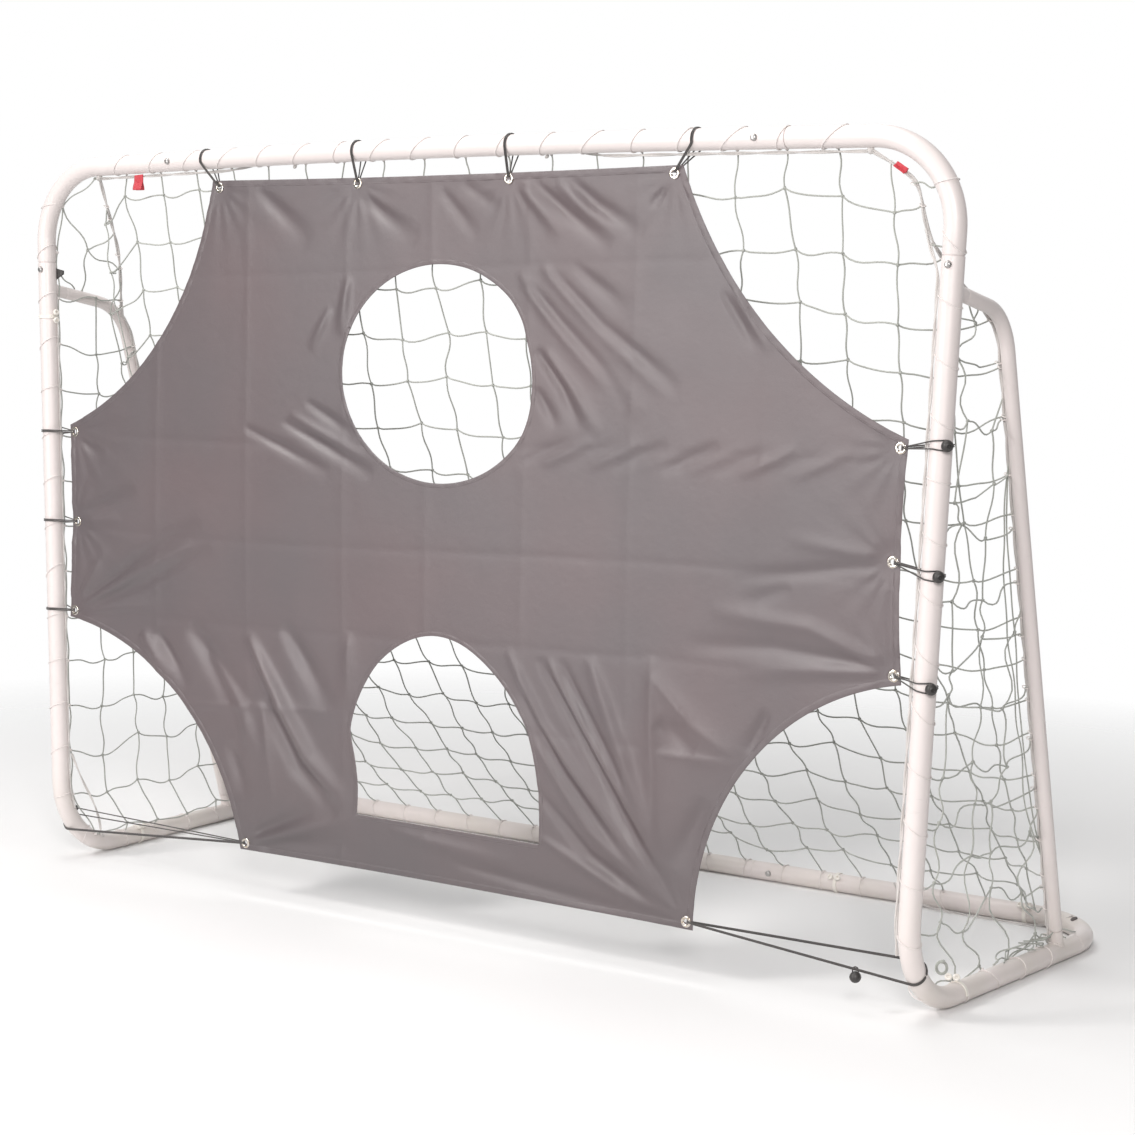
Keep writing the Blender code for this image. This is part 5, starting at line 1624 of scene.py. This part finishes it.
def make_elastics(finish, ball_finish):
    """Each is one doubled cord: out of its ball, round its tube, through its eyelet, hooked over the ball."""
    belt = TUBE_R + SEAT + CORD_R
    lip = Y * (CLOTH_T / 2 + 0.0022 + CORD_R)
    for name, x, z, member in eyelets():
        centre, axis = held_at(name, member, x, z)
        ring = front(x, z)
        way = (centre - ring) - axis * (centre - ring).dot(axis)
        touch = math.pi - math.acos(belt / way.length)
        way.normalize()
        ahead = way.cross(axis)
        if ahead.y > 0:
            ahead = -ahead
        at_foot = member.endswith("foot")
        hangs = member == "right_foot"
        lean = FOOT_LEAN if at_foot else 0.0
        leave = ring + (centre - ring).normalized() * (EYELET_R - 0.002)
        turn = BALL_TURNS.get(member, 0)

        def on_belt(angle, out=0.0):
            round_tube = way * math.cos(angle) + ahead * math.sin(angle)
            return centre + round_tube * (belt + out) + axis * lean * math.sin(angle)

        ball_at = on_belt(turn, BALL_R - CORD_R)
        # A ball behind the tube is reached from behind the sheet, and one in front of it from the front
        facing = 1 if turn >= 0 else -1
        # The cord's middle line and, at each point, how far its two cords stand apart from it
        line = [] if hangs else [(ball_at, CORDS_APART)]
        narrow = np.linspace(turn - facing * (0.0 if hangs else 0.42), -facing * touch, 22)
        line += [(on_belt(angle), CORDS_APART) for angle in narrow]
        line += [(leave + lip * facing, CORDS_APART), (ring, EYELET_APART),
                 (leave - lip * facing, EYELET_APART)]
        first = on_belt(facing * touch)
        straight = (first - leave).length
        if hangs:
            line += [(on_belt(angle), CORDS_APART) for angle in np.linspace(touch, turn + 0.2, 12)]
            share = (HALF - FOOT_BALL_INSET - leave.x) / (first.x - leave.x)
            hook = (leave - lip).lerp(first, share)
            ball_at = hook - Z * 0.0135
        else:
            total = straight + belt * abs(facing * touch - turn)
            for angle in np.linspace(facing * touch, turn - facing * LOOP_PAST, 30):
                run = straight + belt * abs(facing * touch - angle)
                apart = EYELET_APART + (LOOP_HALF - EYELET_APART) * min(run / total, 1) ** 1.2
                beyond = min(max(facing * (turn - angle) / LOOP_PAST, 0), 1)
                apart *= math.sqrt(1 - beyond ** 2)
                line.append((on_belt(angle, 2.1 * CORD_R * beyond), apart))
        spread = (axis + Z * 0.4).normalized() if at_foot else axis
        points = [p + spread * h for p, h in line] + [p - spread * h for p, h in reversed(line)]
        shape = Shape()
        shape.tube(along_length(eased(points, closed=True), 0.0024), CORD_R, 10, closed=True)
        if hangs:
            for k in (-1, 1):
                over = [ball_at, hook + X * k * 0.006 - Z * 0.006, hook + X * k * 0.0045 + Z * 0.0034,
                        hook + Z * 0.0044 - X * k * 0.001]
                shape.tube(smooth_line(over, 0.002, 2), CORD_R, 10)
        show("loop_" + name, shape, finish, replaces=["elastic_" + name])
        out = -Z if hangs else (ball_at - centre).normalized()
        ball(name, ball_at, out, axis, ball_finish)


def ball(name, centre, out, axis, finish):
    """A moulded ball: a parting line round it and a sunk hole where the cord ends are knotted."""
    axis = out.cross(axis).cross(out).normalized()
    profile = [(AXIS_POINT, -BALL_R)]
    for t in shares(29)[1:]:
        angle = math.radians(158 * t - 90)
        groove = 0.00025 * math.exp(-(math.degrees(angle) / 4) ** 2)
        profile.append(((BALL_R + groove) * math.cos(angle), BALL_R * math.sin(angle)))
    rim_r, rim_z = profile[-1]
    profile += [(rim_r - 0.0006, rim_z - 0.0004), (rim_r - 0.0010, rim_z - 0.0030),
                (AXIS_POINT, rim_z - 0.0034)]
    show_turned("ball_" + name, profile, frame_of(centre, out, axis), finish)


# Small things on the net

CLIP_SECTION = ((-0.004, 0.0), (-0.0035, 0.0010), (0.0035, 0.0010), (0.004, 0.0), (0.0035, -0.0009),
                (-0.0035, -0.0009))
CLIP_KNOB = ((0.0034, 0.0), (0.0036, 0.003), (0.0058, 0.0045), (0.0066, 0.0065), (0.0062, 0.0086),
             (0.0044, 0.0096), (0.0026, 0.0092), (0.0022, 0.0060), (AXIS_POINT, 0.0056))
COLLAR_R = TUBE_R + 0.0011
KNOB_APART = 0.0068
TAG_WIDE = 0.024
TAG_LEFT_X = -0.769
TAG_BULGE = 0.0046           # how far the two halves of a folded tag stand off its middle
RIBBON_T = 0.0006
STRAP_T = 0.0022


def make_clips(finish):
    """Net clips: an open collar on the tube with two hollow knobs that pinch the twine."""
    (left_up, left_back), (_, back) = side_ways(-1), side_ways(1)
    places = [("rear_1", Vector((0.447, REAR_Y, AXIS_Z)), X, -Y + Z * 0.7),
              ("rear_2", Vector((0.867, REAR_Y, AXIS_Z)), X, -Y + Z),
              ("rail_right", side_corners(1)[1] + back * 0.181, back, Z - X * 0.36),
              ("rail_left", side_corners(-1)[1] + left_back * 0.235, left_back, Z + X * 0.8),
              ("upright_left", upright_at(-1, 1.159), left_up, X - Y * 0.15)]
    for name, centre, axis, out in places:
        out = (out - axis * out.dot(axis)).normalized()
        side = axis.cross(out)
        rows = []
        for t in shares(24):
            angle = math.radians(230 * t - 115)
            spoke = out * math.cos(angle) + side * math.sin(angle)
            rows.append([centre + spoke * (COLLAR_R + d) + axis * a for a, d in CLIP_SECTION])
        shape = Shape()
        shape.grid(rows, around=True)
        shape.cap(rows[0], flip=True)
        shape.cap(rows[-1])
        for k in (-1, 1):
            at = centre + out * (TUBE_R + 0.002) + axis * k * KNOB_APART
            lean = (out + axis * k * 0.25).normalized()
            if name == "rail_right":
                at = centre + out * (TUBE_R + 0.0088) + X * k * 0.0066 + Y * k * 0.0020
                lean = (X * 0.35 - Y * 0.90 + Z * 0.25).normalized()
            shape.lathe(CLIP_KNOB, frame_of(at, lean, (axis - lean * axis.dot(lean)).normalized()), 28)
        show("net_clip_" + name, shape, finish)


def show_ribbon(name, rows, finish, thickness, offset=0):
    shape = Shape()
    shape.grid(rows)
    thicken(show(name, shape, finish), thickness, offset)


def make_tags(red, black):
    """Two folded ribbons on the net's rope, and a strap end behind the left upright."""
    for name, centre, along, down, tall in (
            ("left", front(TAG_LEFT_X, bar_z(TAG_LEFT_X) - TUBE_R - 0.0035, -0.004), X, -Z, 0.030),
            ("right", front(0.938, 1.419, 0.012), (X * 0.82 - Z * 0.57).normalized(),
             (-Z * 0.82 - X * 0.57).normalized(), 0.0095)):
        rows = []
        for i, t in enumerate(shares(18)):
            half = 1 if t < 0.5 else -1
            depth = half * TAG_BULGE * math.cos(min(min(t, 1 - t) * 6, math.pi / 2))
            fall = tall * abs(1 - 2 * t)
            bow = 0.0012 * math.sin(math.pi * t * 3)
            rows.append([centre + along * (TAG_WIDE * (j / 8 - 0.5)) + down * (fall + bow * (j / 8))
                         - Y * (depth + 0.0008 * math.sin(j * 0.9 + i * 0.35)) for j in range(9)])
        show_ribbon("tag_" + name, rows, red, RIBBON_T)

    place = upright_at(-1, 1.248)
    rows = []
    for t in shares(10):
        wide = 0.025 * (1 - 0.7 * t)
        bow = Vector((0.6, -0.8, 0)) * 0.002 * math.sin(math.pi * t)
        rows.append([place + STRAP_WAY * (TUBE_R - 0.001 + 0.0160 * t) + bow + Z * (wide * u + 0.004 * t)
                     for u in (j / 6 - 0.5 for j in range(7))])
    show_ribbon("strap_end", rows, black, STRAP_T, -1)


make_camera()
THREAD, _ = principled("sewing_thread", (0.20, 0.175, 0.178), 0.6, Sheen_Weight=0.2)
make_world()
make_floor()
for light in LIGHTS:
    area_light(*light)
PAINT = powder_coat()
ZINC = zinc()
SPRING = spring_steel()
NICKEL = nickel()
BLACK = plastic("black_plastic", (0.028, 0.026, 0.026), (0.045, 0.042, 0.040), 0.42)
IVORY = plastic("ivory_plastic", (0.82, 0.79, 0.74), (0.76, 0.72, 0.66), 0.38)
TWINE = cord_finish("net_twine", (0.47, 0.485, 0.45), (0.27, 0.28, 0.25), 500, 0.75, 0.0005)
LACING = cord_finish("lacing_cord", (0.76, 0.71, 0.69), (0.70, 0.655, 0.635), 500, 0.7, 0.0002)
ROPE = cord_finish("border_cord", (0.66, 0.63, 0.61), (0.43, 0.41, 0.39), 500, 0.7, 0.0003)
PLUG = plastic("plug_rubber", (0.110, 0.092, 0.090), (0.075, 0.064, 0.062), 0.55)
ELASTIC = cord_finish("elastic_cord", (0.050, 0.043, 0.040), (0.018, 0.015, 0.014), 620, 0.5, 0.0004, True)
RED = red_ribbon()
CLOTH = woven_cloth()

make_ropes(ROPE)
make_frame(PAINT, ZINC, SPRING, PLUG)
make_nets(TWINE, LACING, ROPE)
make_sheet(CLOTH)
make_eyelets(NICKEL)
make_elastics(ELASTIC, BLACK)
make_clips(IVORY)
make_tags(RED, BLACK)
